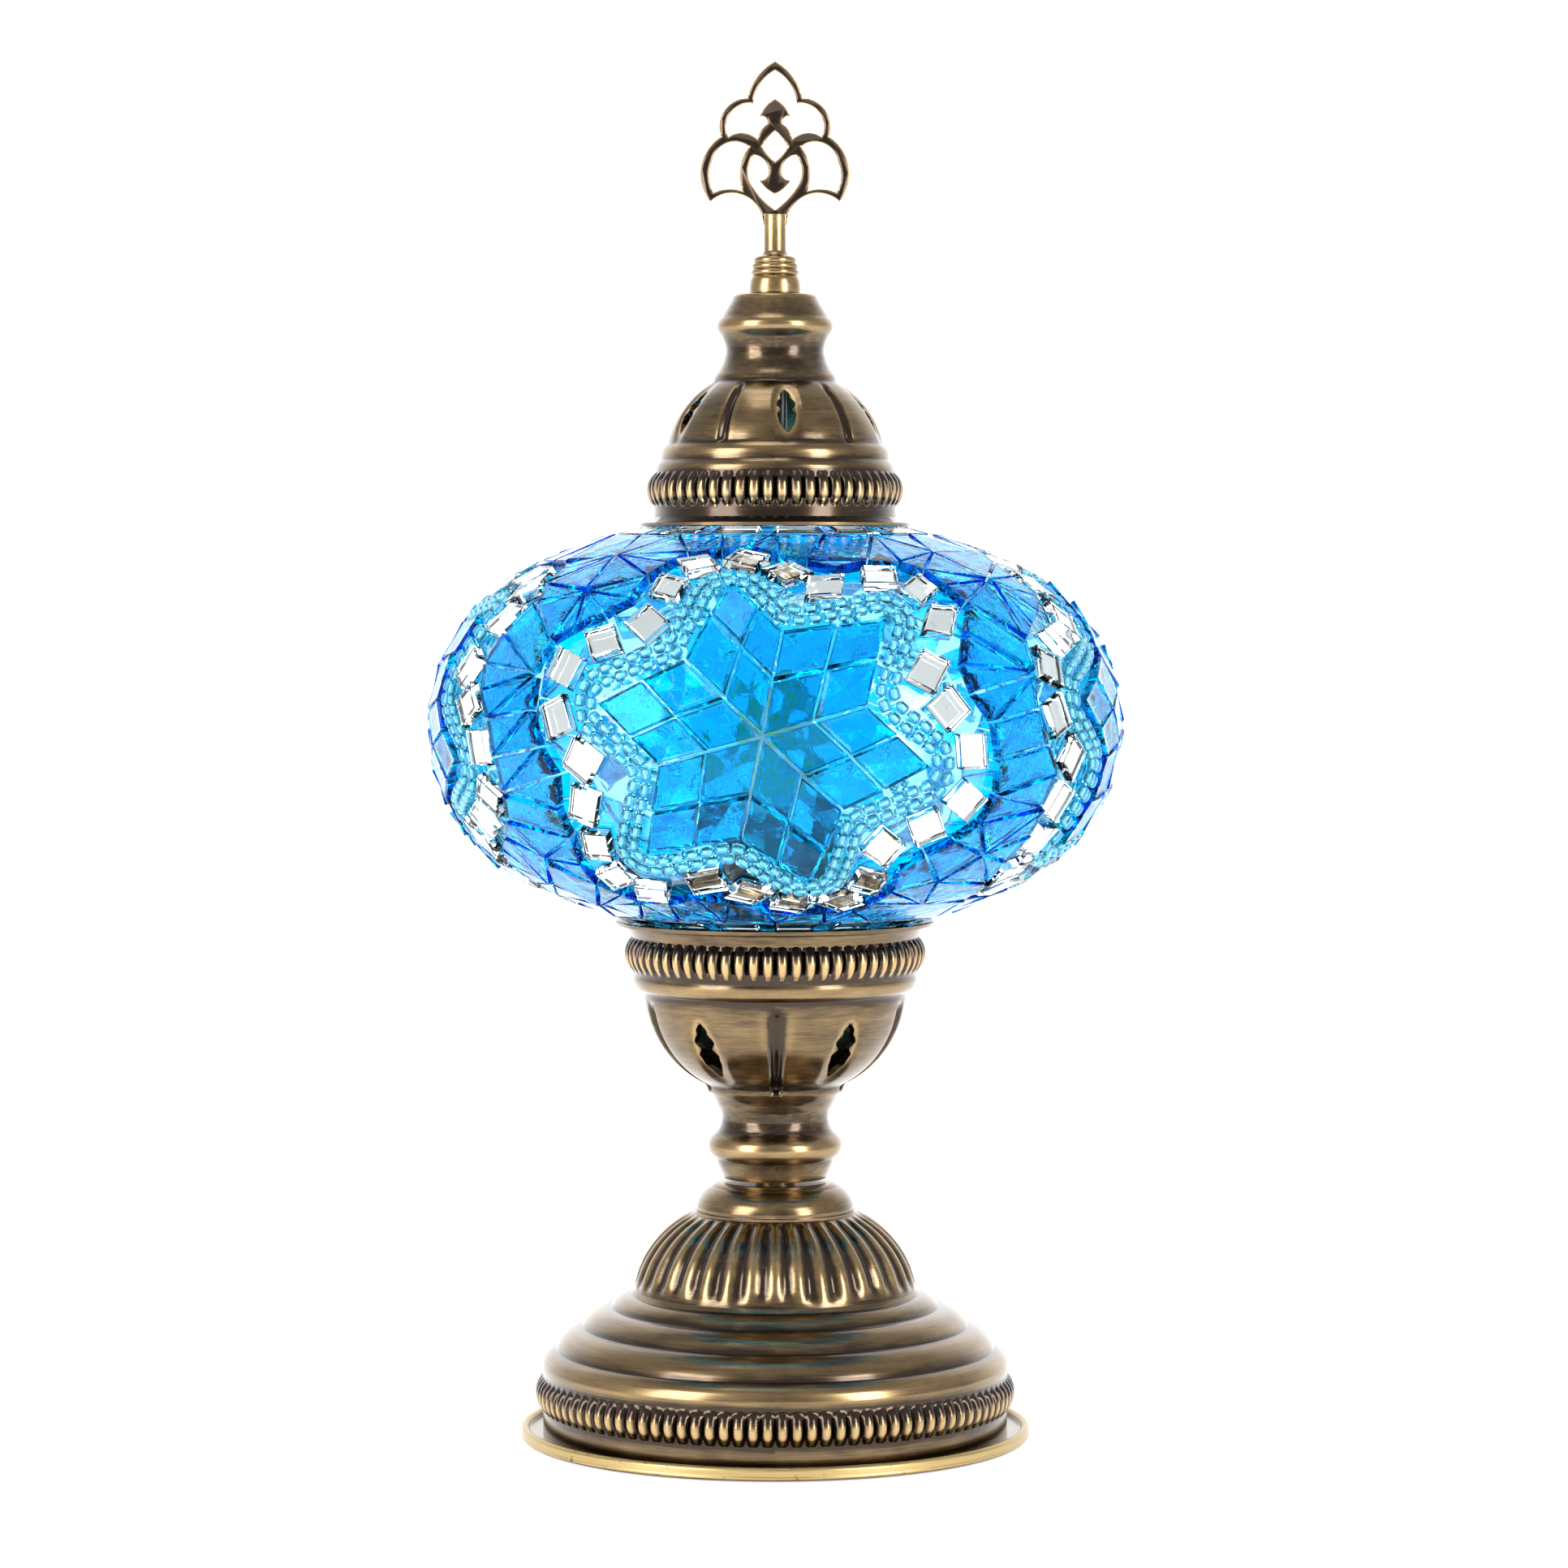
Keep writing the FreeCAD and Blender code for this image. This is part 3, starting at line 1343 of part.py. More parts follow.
def make_finial():
    """Cast finial: a ringed foot, a short stem and a flat openwork plate of pointed arches."""
    foot = s.cap_top
    turned_foot = turned(
        "finial_foot",
        [
            corner(s.stud_radius + 0.08, foot),
            corner(s.finial_foot_radius, foot),
            corner(s.finial_foot_radius - 0.4, foot + 4.4, 0.3),
            corner(s.finial_foot_radius - 0.9, foot + 4.8),
            corner(s.finial_foot_radius - 0.9, foot + 6.5, 0.6),
            corner(s.finial_foot_radius - 1.2, foot + 8.0, 0.5),
            corner(s.finial_foot_radius - 1.8, foot + 9.6, 0.5),
            corner(s.finial_stem_radius, foot + 11.6, -0.5),
            corner(s.finial_stem_radius, foot + 20.2),
            corner(0, foot + 20.2),
            corner(0, s.stud_top + 0.8),
            corner(s.stud_radius + 0.08, s.stud_top + 0.8),
        ],
    )
    outside = [
        corner(0, foot + 15.0),
        corner(2.4, foot + 16.0),
        corner(3.0, foot + 18.1),
        corner(16.4, foot + 23.5, -4.6),
        corner(13.7, foot + 39.9, 3.8),
        corner(7.0, foot + 49.6, 3.1),
        corner(0, foot + 58.9, 1.3),
    ]
    top_window = [
        corner(0, foot + 49.4),
        corner(3.9, foot + 45.0, -0.6),
        corner(2.1, foot + 43.0, 0.9),
        corner(4.4, foot + 39.3, -0.5),
        corner(11.8, foot + 39.9, -1.2),
        corner(5.5, foot + 48.3, 3.2),
        corner(5.2, foot + 50.0),
        corner(0, foot + 56.7, 0.9),
    ]
    diamond = [corner(0, foot + 33.6), corner(3.2, foot + 37.4, 0.3), corner(0, foot + 41.4, 0.3)]
    lower_window = [
        corner(0, foot + 21.4),
        corner(5.5, foot + 27.1, 0.4),
        corner(5.4, foot + 35.3, 1.3),
        corner(1.7, foot + 31.4, 1.0),
        corner(3.9, foot + 28.8, 0.8),
        corner(0, foot + 25.4, -0.4),
    ]
    side_window = [
        corner(15.6, foot + 25.8, -0.6),
        corner(16.0, foot + 33.6, 0.9),
        corner(6.6, foot + 37.4, 2.9),
        corner(8.9, foot + 31.6, -0.5),
        corner(8.3, foot + 26.2, -0.3),
    ]
    other_side = [corner(-x, z, -b) for x, z, b in side_window]
    plate = padded(
        "finial_openwork",
        "XZ_Plane",
        s.finial_plate,
        mirrored(outside),
        mirrored(top_window),
        mirrored(diamond),
        mirrored(lower_window),
        side_window,
        other_side,
    )
    node(fuse("finial_whole", turned_foot, plate), "finial")


# ---------------------------------------------------------------- build, check, export

make_base()
make_tube()
make_collar_and_cup()
make_holder()
make_bulb()
make_globe()
make_mosaic()
make_cap()
make_finial()
doc.recompute()

for obj in doc.Objects:
    if "Invalid" in obj.State or "Error" in obj.State:
        raise RuntimeError(f"{obj.Label} failed to compute: {obj.State}")

os.makedirs("parts", exist_ok=True)
for obj in NODES:
    if obj.Shape.isNull() or not obj.Shape.isValid():
        raise RuntimeError(f"{obj.Label} has no valid shape")
    obj.Shape.exportStep(f"parts/{obj.Label}.step")
    print(f"{obj.Label}: {len(obj.Shape.Solids)} solids, {obj.Shape.Volume:.0f} mm3")
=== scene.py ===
"""Looks of the mosaic glass table lamp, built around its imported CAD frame.

Metres, +Z up, front towards -Y.  Shapes are worked out from the frame's own nodes: turned pieces from
their sections, glass pieces from the faces and axes of the CAD solids that they stand for.
"""

import math

import bmesh
import bpy
import numpy as np
from mathutils import Matrix, Vector, noise


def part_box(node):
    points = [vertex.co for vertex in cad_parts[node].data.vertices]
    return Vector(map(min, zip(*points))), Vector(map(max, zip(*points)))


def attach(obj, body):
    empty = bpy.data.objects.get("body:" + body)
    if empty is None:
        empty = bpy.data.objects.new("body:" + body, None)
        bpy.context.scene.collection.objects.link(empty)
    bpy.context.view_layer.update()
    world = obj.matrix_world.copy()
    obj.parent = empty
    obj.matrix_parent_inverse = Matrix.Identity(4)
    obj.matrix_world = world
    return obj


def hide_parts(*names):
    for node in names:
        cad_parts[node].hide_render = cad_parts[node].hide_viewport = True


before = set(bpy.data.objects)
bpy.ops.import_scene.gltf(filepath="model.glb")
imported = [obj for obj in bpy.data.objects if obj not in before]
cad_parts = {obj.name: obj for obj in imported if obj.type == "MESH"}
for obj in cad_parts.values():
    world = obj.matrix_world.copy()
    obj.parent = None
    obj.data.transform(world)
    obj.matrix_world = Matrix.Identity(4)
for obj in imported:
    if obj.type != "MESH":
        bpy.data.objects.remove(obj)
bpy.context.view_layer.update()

MM = 0.001
FULL_TURN = 2 * math.pi
WALL = 0.8 * MM
SCENE = bpy.context.scene


# ---------------------------------------------------------------- reading the frame


def plain_mesh(name):
    """A CAD node's mesh as a bmesh whose faces share their corners."""
    bm = bmesh.new()
    bm.from_mesh(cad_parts[name].data)
    bmesh.ops.remove_doubles(bm, verts=bm.verts, dist=1e-7)
    return bm


def section(name, turn):
    """The closed outline, as (radius, height), of a turned CAD node cut by the half-plane at a turn."""
    bm = plain_mesh(name)
    outward = Vector((math.sin(turn), -math.cos(turn), 0))
    across = Vector((math.cos(turn), math.sin(turn), 0))
    everything = bm.verts[:] + bm.edges[:] + bm.faces[:]
    cut = bmesh.ops.bisect_plane(bm, geom=everything, dist=1e-9, plane_co=(0, 0, 0), plane_no=across)
    beside = {}
    for edge in cut["geom_cut"]:
        if isinstance(edge, bmesh.types.BMEdge):
            a, b = edge.verts
            if (a.co + b.co).dot(outward) > 0:
                beside.setdefault(a, []).append(b)
                beside.setdefault(b, []).append(a)
    start = min(beside, key=lambda v: (v.co.z, v.index))
    loop, before, here = [], None, start
    while not (loop and here is start):
        loop.append((here.co.dot(outward), here.co.z))
        before, here = here, next((v for v in beside[here] if v is not before), start)
    bm.free()
    return loop


def nearest(loop, target):
    return min(range(len(loop)), key=lambda i: math.dist(loop[i], target))


def outer_face(name, turn, start, end):
    """The outer side of a spun shell's section, from the corner nearest start to the one nearest end."""
    loop = section(name, turn)
    first, last = nearest(loop, start), nearest(loop, end)
    count = len(loop)
    ways = []
    for step in (1, -1):
        steps = (last - first) * step % count
        ways.append([loop[(first + k * step) % count] for k in range(steps + 1)])
    return max(ways, key=line_length)


def line_length(points):
    return sum(math.dist(a, b) for a, b in zip(points, points[1:]))


def loose_parts(name):
    """Corners and triangles of each separate solid of a CAD node."""
    bm = plain_mesh(name)
    bmesh.ops.triangulate(bm, faces=bm.faces)
    bm.verts.index_update()
    left = set(bm.verts)
    parts = []
    for seed in bm.verts:
        if seed not in left:
            continue
        left.discard(seed)
        found, fringe = [seed], [seed]
        while fringe:
            for edge in fringe.pop().link_edges:
                for vert in edge.verts:
                    if vert in left:
                        left.discard(vert)
                        found.append(vert)
                        fringe.append(vert)
        faces = {face for vert in found for face in vert.link_faces}
        faces = sorted(faces, key=lambda face: [vert.index for vert in face.verts])
        parts.append(([vert.co.copy() for vert in found], [[v.co.copy() for v in f.verts] for f in faces]))
    bm.free()
    return parts


# ---------------------------------------------------------------- making pieces


def finished(name, mesh, body, nodes=(), sharp=35):
    """Turns a mesh into a piece that rides on a body and stands for CAD nodes."""
    mesh.shade_smooth()
    mesh.set_sharp_from_angle(angle=math.radians(sharp))
    piece = bpy.data.objects.new(name, mesh)
    SCENE.collection.objects.link(piece)
    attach(piece, body)
    if nodes:
        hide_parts(*nodes)
    return piece


def eased(points, reach, closed=False):
    """A line with each sharp corner replaced by a short curve."""
    least_turn = math.radians(14)
    count = len(points)
    line = []
    for i, (r, z) in enumerate(points):
        if not closed and i in (0, count - 1):
            line.append((r, z))
            continue
        before, after = points[i - 1], points[(i + 1) % count]
        arriving, leaving = (r - before[0], z - before[1]), (after[0] - r, after[1] - z)
        turn = math.atan2(arriving[0] * leaving[1] - arriving[1] * leaving[0],
                          arriving[0] * leaving[0] + arriving[1] * leaving[1])
        if abs(turn) < least_turn:
            line.append((r, z))
            continue
        back = min(reach, 0.45 * math.hypot(*arriving)) / math.hypot(*arriving)
        ahead = min(reach, 0.45 * math.hypot(*leaving)) / math.hypot(*leaving)
        first = (r - arriving[0] * back, z - arriving[1] * back)
        last = (r + leaving[0] * ahead, z + leaving[1] * ahead)
        for t in (0, 0.25, 0.5, 0.75, 1):
            line.append(tuple((1 - t) ** 2 * a + 2 * t * (1 - t) * b + t * t * c
                              for a, b, c in zip(first, (r, z), last)))
    return line


def divided(points, step, closed=False):
    """A line with its long stretches divided, so that no stretch is longer than step(height)."""
    line = []
    ends = points[1:] + points[:1] if closed else points[1:]
    for start, end in zip(points, ends):
        parts = max(1, math.ceil(math.dist(start, end) / step((start[1] + end[1]) / 2)))
        for k in range(parts):
            line.append(tuple(a + (b - a) * k / parts for a, b in zip(start, end)))
    if not closed:
        line.append(points[-1])
    return line


def thinned(points, least):
    """A line without the points that lie too close to the one before; both ends stay."""
    line = points[:1]
    for point in points[1:-1]:
        if math.dist(line[-1], point) > least < math.dist(point, points[-1]):
            line.append(point)
    return line + points[-1:]


def row_normals(points):
    """Unit normals of a section line, to its right, averaged over each point's two stretches."""
    line = np.array(points)
    ahead = np.diff(line, axis=0)
    ahead /= np.linalg.norm(ahead, axis=1)[:, None]
    heading = np.vstack([ahead[:1], ahead[:-1] + ahead[1:], ahead[-1:]])
    heading /= np.linalg.norm(heading, axis=1)[:, None]
    return np.column_stack([heading[:, 1], -heading[:, 0]])


def turns(segments):
    return np.arange(segments) * FULL_TURN / segments


def grid_mesh(name, radius, height, segments):
    """A closed mesh of rings; radius and height hold one row for each ring and one column for each turn."""
    rows = radius.shape[0]
    turn = turns(segments)[None, :]
    coords = np.stack([radius * np.sin(turn), -radius * np.cos(turn), height + 0 * turn], -1)
    row = np.arange(rows)[:, None] * segments
    next_row = (np.arange(rows)[:, None] + 1) % rows * segments
    column = np.arange(segments)[None, :]
    next_column = (column + 1) % segments
    quads = np.stack([row + column, row + next_column, next_row + next_column, next_row + column], -1)
    flat = coords.reshape(-1, 3)
    quads = quads.reshape(-1, 4)
    if signed_volume(flat, quads) < 0:
        quads = quads[:, ::-1]
    mesh = bpy.data.meshes.new(name)
    mesh.from_pydata(flat.tolist(), [], quads.tolist())
    return mesh


def signed_volume(points, quads):
    a, b, c, d = (points[quads[:, k]] for k in range(4))
    return np.einsum("ij,ij->i", a, np.cross(b, c) + np.cross(c, d)).sum()


def lathe(name, loop, segments):
    """A turned piece from a closed outline."""
    line = np.array(loop)
    ones = np.ones((1, segments))
    return grid_mesh(name, line[:, :1] * ones, line[:, 1:] * ones, segments)


def shell(name, outer, reliefs, segments):
    """A spun shell with relief pressed into it.  Each relief gives depth and rubbing for (heights, turns); a beaded
    band's rubbing also holds a painted highlight and painted shade.
    """
    line = np.array(outer)
    normals = row_normals(outer)
    turn = turns(segments)[None, :]
    height = line[:, 1:]
    depth = np.zeros((len(outer), segments))
    proud = standing(line, normals) / (1.6 * MM)
    wear_and_highlight = np.clip(proud, -0.35, 0.28)[:, None] * np.ones_like(turn)
    directions = normals.copy()
    for relief in reliefs:
        inside = (line[:, 1] > relief.low) & (line[:, 1] < relief.high)
        pressed, rubbed = relief(height[inside], line[inside, :1], turn)
        depth[inside] += pressed
        wear_and_highlight[inside] = np.clip(wear_and_highlight[inside] * relief.keeps_wear + rubbed, -1, 1)
        if relief.radial:
            directions[inside] = (1, 0)
    deepest = np.maximum(depth.max(axis=1), 0)
    kept = sorted(set(list(range(0, len(outer), INNER_EVERY)) + [len(outer) - 1]))[::-1]
    behind = line[kept] - normals[kept] * WALL - directions[kept] * deepest[kept, None]
    outer_r = line[:, :1] - directions[:, :1] * depth
    outer_z = line[:, 1:] - directions[:, 1:] * depth
    inner_r, inner_z = (behind[:, k:k + 1] * np.ones_like(turn) for k in (0, 1))
    mesh = grid_mesh(name, np.vstack([outer_r, inner_r]), np.vstack([outer_z, inner_z]), segments)
    # On the beaded bands this rubbing holds a painted highlight on the beads' lower halves and painted shade on their
    # tops.
    rubbing = np.vstack([wear_and_highlight, np.zeros_like(inner_r)])
    mesh.attributes.new("wear_and_highlight", "FLOAT", "POINT").data.foreach_set("value", rubbing.astype(np.float32).ravel())
    return mesh


INNER_EVERY = 7


def standing(line, normals):
    """How far each point of the line stands proud of the line's average over a few millimetres."""
    reach = 2.6 * MM
    places = np.concatenate([[0], np.cumsum(np.hypot(*np.diff(line, axis=0).T))])
    weights = np.exp(-((places[:, None] - places[None, :]) / reach) ** 2) * np.gradient(places)
    average = weights @ line / weights.sum(axis=1, keepdims=True)
    from_ends = np.minimum(places, places[-1] - places)
    return ((line - average) * normals).sum(axis=1) * smooth_step(0, 2 * reach, from_ends)


def smooth_step(low, high, value):
    t = np.clip((value - low) / (high - low), 0, 1)
    return t * t * (3 - 2 * t)


class BeadedBand:
    """A row of upright oval beads round a shell; the CAD band's own bulge is the beads' crest."""

    radial, keeps_wear = True, 0.0

    def __init__(self, centre, half, count, bulge, phase=0.0):
        self.centre, self.half, self.count, self.bulge, self.phase = centre, half, count, bulge, phase
        self.low, self.high = centre - half, centre + half

    def __call__(self, height, radius, turn):
        v = (height - self.centre) / self.half
        u = (turn * self.count / FULL_TURN + self.phase) % 1 * 2 - 1
        width = np.sqrt(np.clip(1 - np.abs(v) ** 2.6, 1e-4, 1)) * 0.97
        across = np.sqrt(np.clip(1 - (u / width) ** 2, 0, 1))
        stands = self.bulge * np.clip(1 - v * v, 0, 1)
        # Gold along each bead's crest, only on its lower half, the rest of the band darker: crest rubbing together
        # with a painted highlight on the lower half and painted shade on the top half.
        rubbed = smooth_step(0.75, 0.97, across) * smooth_step(0.75, -0.35, v)
        return stands * (1 - across ** 0.85), 1.25 * rubbed - 0.4


class Flutes:
    """Upright channels between rubbed ribs, dying out at both ends."""

    radial, keeps_wear = False, 1.0

    def __init__(self, low, high, count, depth, full_radius):
        self.low, self.high, self.count, self.depth, self.full_radius = low, high, count, depth, full_radius

    def __call__(self, height, radius, turn):
        u = np.cos(turn * self.count)
        fade = smooth_step(self.low, self.low + 4.5 * MM, height) * smooth_step(self.high, self.high - 2 * MM, height)
        channel = (0.5 - 0.5 * u) ** 1.15
        ribs = (0.55 * smooth_step(-0.6, 0.8, u) - 0.25) * fade
        return self.depth * channel * fade * (radius / self.full_radius) ** 0.7, ribs


class Grooves:
    """Narrow upright grooves pressed in at even turns."""

    radial, keeps_wear = False, 1.0

    def __init__(self, low, high, first, count, half_low, half_high, depth):
        self.low, self.high, self.first, self.count = low, high, first, count
        self.half_low, self.half_high, self.depth = half_low, half_high, depth

    def __call__(self, height, radius, turn):
        pitch = FULL_TURN / self.count
        x = np.abs(((turn - self.first + pitch / 2) % pitch - pitch / 2) * radius)
        share = (height - self.low) / (self.high - self.low)
        half = self.half_low + (self.half_high - self.half_low) * share
        ends = smooth_step(0, 0.06, share) * smooth_step(1, 0.8, share)
        floor = smooth_step(half * 1.3, half * 0.15, x) * ends
        shoulders = np.exp(-((x - half * 1.5) / (0.5 * half)) ** 2) * ends
        return self.depth * floor, 0.12 * shoulders - 0.9 * floor


class Slots:
    """The metal round a ring of slots, dished inwards, with a rubbed edge at each slot."""

    radial, keeps_wear = False, 1.0

    def __init__(self, low, high, width, first, count=5):
        self.slot_low, self.slot_high, self.width, self.first, self.count = low, high, width, first, count
        margin = 3 * MM
        self.low, self.high = low - margin, high + margin

    def __call__(self, height, radius, turn):
        pitch = FULL_TURN / self.count
        x = ((turn - self.first + pitch / 2) % pitch - pitch / 2) * radius
        middle, half = (self.slot_low + self.slot_high) / 2, (self.slot_high - self.slot_low) / 2
        away = np.hypot(x / (self.width / 2), (height - middle) / half)
        near = np.exp(-(np.clip(away - 0.9, 0, None) / 0.42) ** 2)
        edge = np.exp(-((away - 0.98) / 0.16) ** 2)
        return 0.55 * MM * near, edge * 0.4

    def half_width(self, share):
        """Half of the slot's width at a share of its height: two lobes with a nick between them."""
        lobes = math.sin(math.pi * share) ** 0.75
        waist = 1 - 0.42 * math.exp(-(((share - 0.52) / 0.075) ** 2))
        shoulder = 1 - 0.22 * math.exp(-(((share - 0.80) / 0.05) ** 2))
        ripple = 1 + 0.05 * math.cos(share * 9 * math.pi)
        return self.width / 2 * lobes * waist * shoulder * ripple

    def cutter(self, near, far):
        """Prisms of the slots' outline that reach from one radius to another."""
        bm = bmesh.new()
        steps = 28
        right = [(self.half_width(k / steps), k / steps) for k in range(1, steps)]
        outline = [(0.0, 0.0)] + right + [(0.0, 1.0)] + [(-x, share) for x, share in right[::-1]]
        for k in range(self.count):
            turn = self.first + k * FULL_TURN / self.count
            out, side = Vector((math.sin(turn), -math.cos(turn), 0)), Vector((math.cos(turn), math.sin(turn), 0))
            ends = []
            for reach in (near, far):
                ring = []
                for x, share in outline:
                    z = self.slot_low + (self.slot_high - self.slot_low) * share
                    ring.append(bm.verts.new(out * reach + side * x + Vector((0, 0, z))))
                ends.append(ring)
            bm.faces.new(ends[0])
            bm.faces.new(ends[1][::-1])
            for i in range(len(outline)):
                j = (i + 1) % len(outline)
                bm.faces.new([ends[0][j], ends[0][i], ends[1][i], ends[1][j]])
        bmesh.ops.recalc_face_normals(bm, faces=bm.faces)
        mesh = bpy.data.meshes.new("cutter")
        bm.to_mesh(mesh)
        bm.free()
        return mesh


def cut_through(mesh, cutter):
    """The mesh with the cutter's solids taken out of it."""
    blank, tool = (bpy.data.objects.new("cut_work", m) for m in (mesh, cutter))
    for obj in (blank, tool):
        SCENE.collection.objects.link(obj)
    boolean = blank.modifiers.new("cut", "BOOLEAN")
    boolean.object, boolean.operation, boolean.solver = tool, "DIFFERENCE", "MANIFOLD"
    bpy.context.view_layer.update()
    evaluated = blank.evaluated_get(bpy.context.evaluated_depsgraph_get())
    result = bpy.data.meshes.new_from_object(evaluated)
    for obj in (blank, tool):
        bpy.data.objects.remove(obj)
    result.materials.clear()
    return result


# ---------------------------------------------------------------- materials


class Shader:
    """A material around one Principled shader, with short ways to add nodes to it."""

    def __init__(self, name, colour, roughness=0.5, **sockets):
        self.material = bpy.data.materials.new(name)
        self.material.use_nodes = True
        self.tree = self.material.node_tree
        self.shader = self.tree.nodes["Principled BSDF"]
        self.set("Base Color", (*colour, 1))
        self.set("Roughness", roughness)
        for key, value in sockets.items():
            self.set(key.replace("_", " "), value)
        self.place = self.add("ShaderNodeTexCoord").outputs["Object"]

    def set(self, socket, value):
        self.shader.inputs[socket].default_value = value

    def add(self, kind, inputs=None, **settings):
        node = self.tree.nodes.new(kind)
        for key, value in settings.items():
            setattr(node, key, value)
        for key, value in (inputs or {}).items():
            if isinstance(value, bpy.types.NodeSocket):
                self.tree.links.new(value, node.inputs[key])
            else:
                node.inputs[key].default_value = value
        return node

    def drive(self, socket, source):
        self.tree.links.new(source, self.shader.inputs[socket])

    def noise(self, scale, detail=3.0, place=None, roughness=0.55, distortion=0.0):
        inputs = {"Vector": place or self.place, "Scale": scale, "Detail": detail,
                  "Roughness": roughness, "Distortion": distortion}
        return self.add("ShaderNodeTexNoise", inputs).outputs["Fac"]

    def stretched(self, x, y, z):
        return self.add("ShaderNodeMapping", {"Vector": self.place, "Scale": (x, y, z)}).outputs["Vector"]

    def attribute(self, name):
        return self.add("ShaderNodeAttribute", attribute_name=name).outputs["Fac"]

    def math(self, operation, a, b=0.0, clamp=False):
        return self.add("ShaderNodeMath", {0: a, 1: b}, operation=operation, use_clamp=clamp).outputs[0]

    def ramp(self, source, low, high, start=0.0, end=1.0):
        """Maps source from low..high to start..end, held at the ends."""
        inputs = {"Value": source, "From Min": low, "From Max": high, "To Min": start, "To Max": end}
        return self.add("ShaderNodeMapRange", inputs, clamp=True).outputs["Result"]

    def mixed(self, share, first, second, blend="MIX"):
        node = self.add("ShaderNodeMix", data_type="RGBA", blend_type=blend)
        for key, value in ((0, share), (6, first), (7, second)):
            if isinstance(value, bpy.types.NodeSocket):
                self.tree.links.new(value, node.inputs[key])
            else:
                node.inputs[key].default_value = (*value, 1) if key else value
        return node.outputs[2]

    def bump(self, height, strength, distance, below=None):
        inputs = {"Height": height, "Strength": strength, "Distance": distance}
        if below is not None:
            inputs["Normal"] = below
        return self.add("ShaderNodeBump", inputs).outputs["Normal"]

    def round_the_axis(self, along, across):
        """Coordinates that run along the turning marks of a lathe: slowly round the axis, fast across it."""
        parts = self.add("ShaderNodeSeparateXYZ", {0: self.place}).outputs
        turn = self.math("ARCTAN2", parts["X"], parts["Y"])
        x2, y2 = self.math("MULTIPLY", parts["X"], parts["X"]), self.math("MULTIPLY", parts["Y"], parts["Y"])
        radius = self.math("SQRT", self.math("ADD", x2, y2))
        outputs = {"X": self.math("MULTIPLY", turn, along), "Y": self.math("MULTIPLY", radius, across),
                   "Z": self.math("MULTIPLY", parts["Z"], across)}
        return self.add("ShaderNodeCombineXYZ", outputs).outputs[0]


def antique_brass(name, dark, worn, base_wear):
    """Lacquered brass with a brown patina, brushed round the axis and rubbed through where it stands proud; on the
    beaded bands the rubbing also holds a painted highlight and painted shade.
    """
    s = Shader(name, worn, Metallic=1.0, Anisotropic=0.3, Coat_Weight=0.35, Coat_Roughness=0.12)
    strokes = s.noise(1.0, 4.0, s.round_the_axis(5.0, 2600), 0.7)
    broad = s.noise(1.0, 3.0, s.round_the_axis(2.2, 420), 0.6)
    clouds = s.noise(70, 4.0)
    specks = s.noise(900, 2.0)
    rub_and_highlight = s.math("ADD", s.math("MULTIPLY", s.attribute("wear_and_highlight"), 0.95), base_wear)
    for source, share in ((strokes, 0.5), (broad, 0.4), (clouds, 0.42)):
        rub_and_highlight = s.math("ADD", rub_and_highlight, s.math("MULTIPLY", s.math("SUBTRACT", source, 0.5), share))
    rub_and_highlight = s.ramp(rub_and_highlight, 0.0, 0.9)
    colour = s.mixed(rub_and_highlight, dark, worn)
    pits = s.ramp(specks, 0.70, 0.78)
    colour = s.mixed(s.math("MULTIPLY", pits, 0.5), colour, (0.02, 0.012, 0.006))
    s.drive("Base Color", colour)
    s.drive("Roughness", s.ramp(rub_and_highlight, 0.0, 1.0, 0.20, 0.29))
    s.drive("Normal", s.bump(strokes, 0.14, 0.05 * MM))
    return s.material


def bright_brass():
    """Lacquered yellow brass, finely brushed, with a few dark nicks."""
    s = Shader("bright_brass", (0.62, 0.46, 0.20), 0.3, Metallic=1.0)
    strokes = s.noise(1.0, 4.0, s.round_the_axis(4.0, 3200), 0.7)
    nicks = s.ramp(s.noise(520, 3.0), 0.66, 0.74)
    colour = s.mixed(strokes, (0.26, 0.18, 0.07), (0.56, 0.42, 0.19))
    s.drive("Base Color", s.mixed(nicks, colour, (0.10, 0.06, 0.03)))
    s.drive("Roughness", s.ramp(strokes, 0.2, 0.8, 0.24, 0.42))
    s.drive("Normal", s.bump(strokes, 0.2, 0.05 * MM))
    return s.material


def tile_glass(name, pale, deep, ripple, roughness=0.02):
    """Cast sheet glass: streaks of colour, a tint for each tile and a rippled skin with seeds in it."""
    s = Shader(name, pale, roughness, IOR=1.45, Specular_Tint=(0.2, 0.4, 0.65, 1))
    s.set("Transmission Weight", 1.0)
    streaks = s.noise(1.0, 3.0, s.stretched(70, 70, 160), 0.6, 0.8)
    depth = s.math("ADD", s.math("MULTIPLY", streaks, 0.7), s.math("MULTIPLY", s.attribute("tint"), 0.75))
    s.drive("Base Color", s.mixed(s.ramp(depth, 0.25, 1.1), pale, deep))
    waves = s.noise(330, 2.0, distortion=0.7)
    skin = s.noise(1500, 3.0)
    seeds = s.add("ShaderNodeTexVoronoi", {"Vector": s.place, "Scale": 420.0}).outputs["Distance"]
    dots = s.ramp(seeds, 0.10, 0.22, 1.0, 0.0)
    normal = s.bump(waves, ripple, 0.7 * MM)
    normal = s.bump(skin, ripple * 0.5, 0.12 * MM, normal)
    s.drive("Normal", s.bump(dots, ripple * 0.6, 0.2 * MM, normal))
    return s.material


def clear_glass(name, colour, roughness=0.01, ripple=0.0, scale=300.0):
    """Plain glass; a ripple gives it the slight waviness of blown or pressed glass."""
    s = Shader(name, colour, roughness, IOR=1.5)
    s.set("Transmission Weight", 1.0)
    cast = s.noise(120, 2.0)
    s.drive("Base Color", s.mixed(s.ramp(cast, 0.3, 0.7), colour, tuple(c ** 1.25 for c in colour)))
    if ripple:
        s.drive("Normal", s.bump(s.noise(scale, 2.0), ripple, 0.3 * MM))
    return s.material


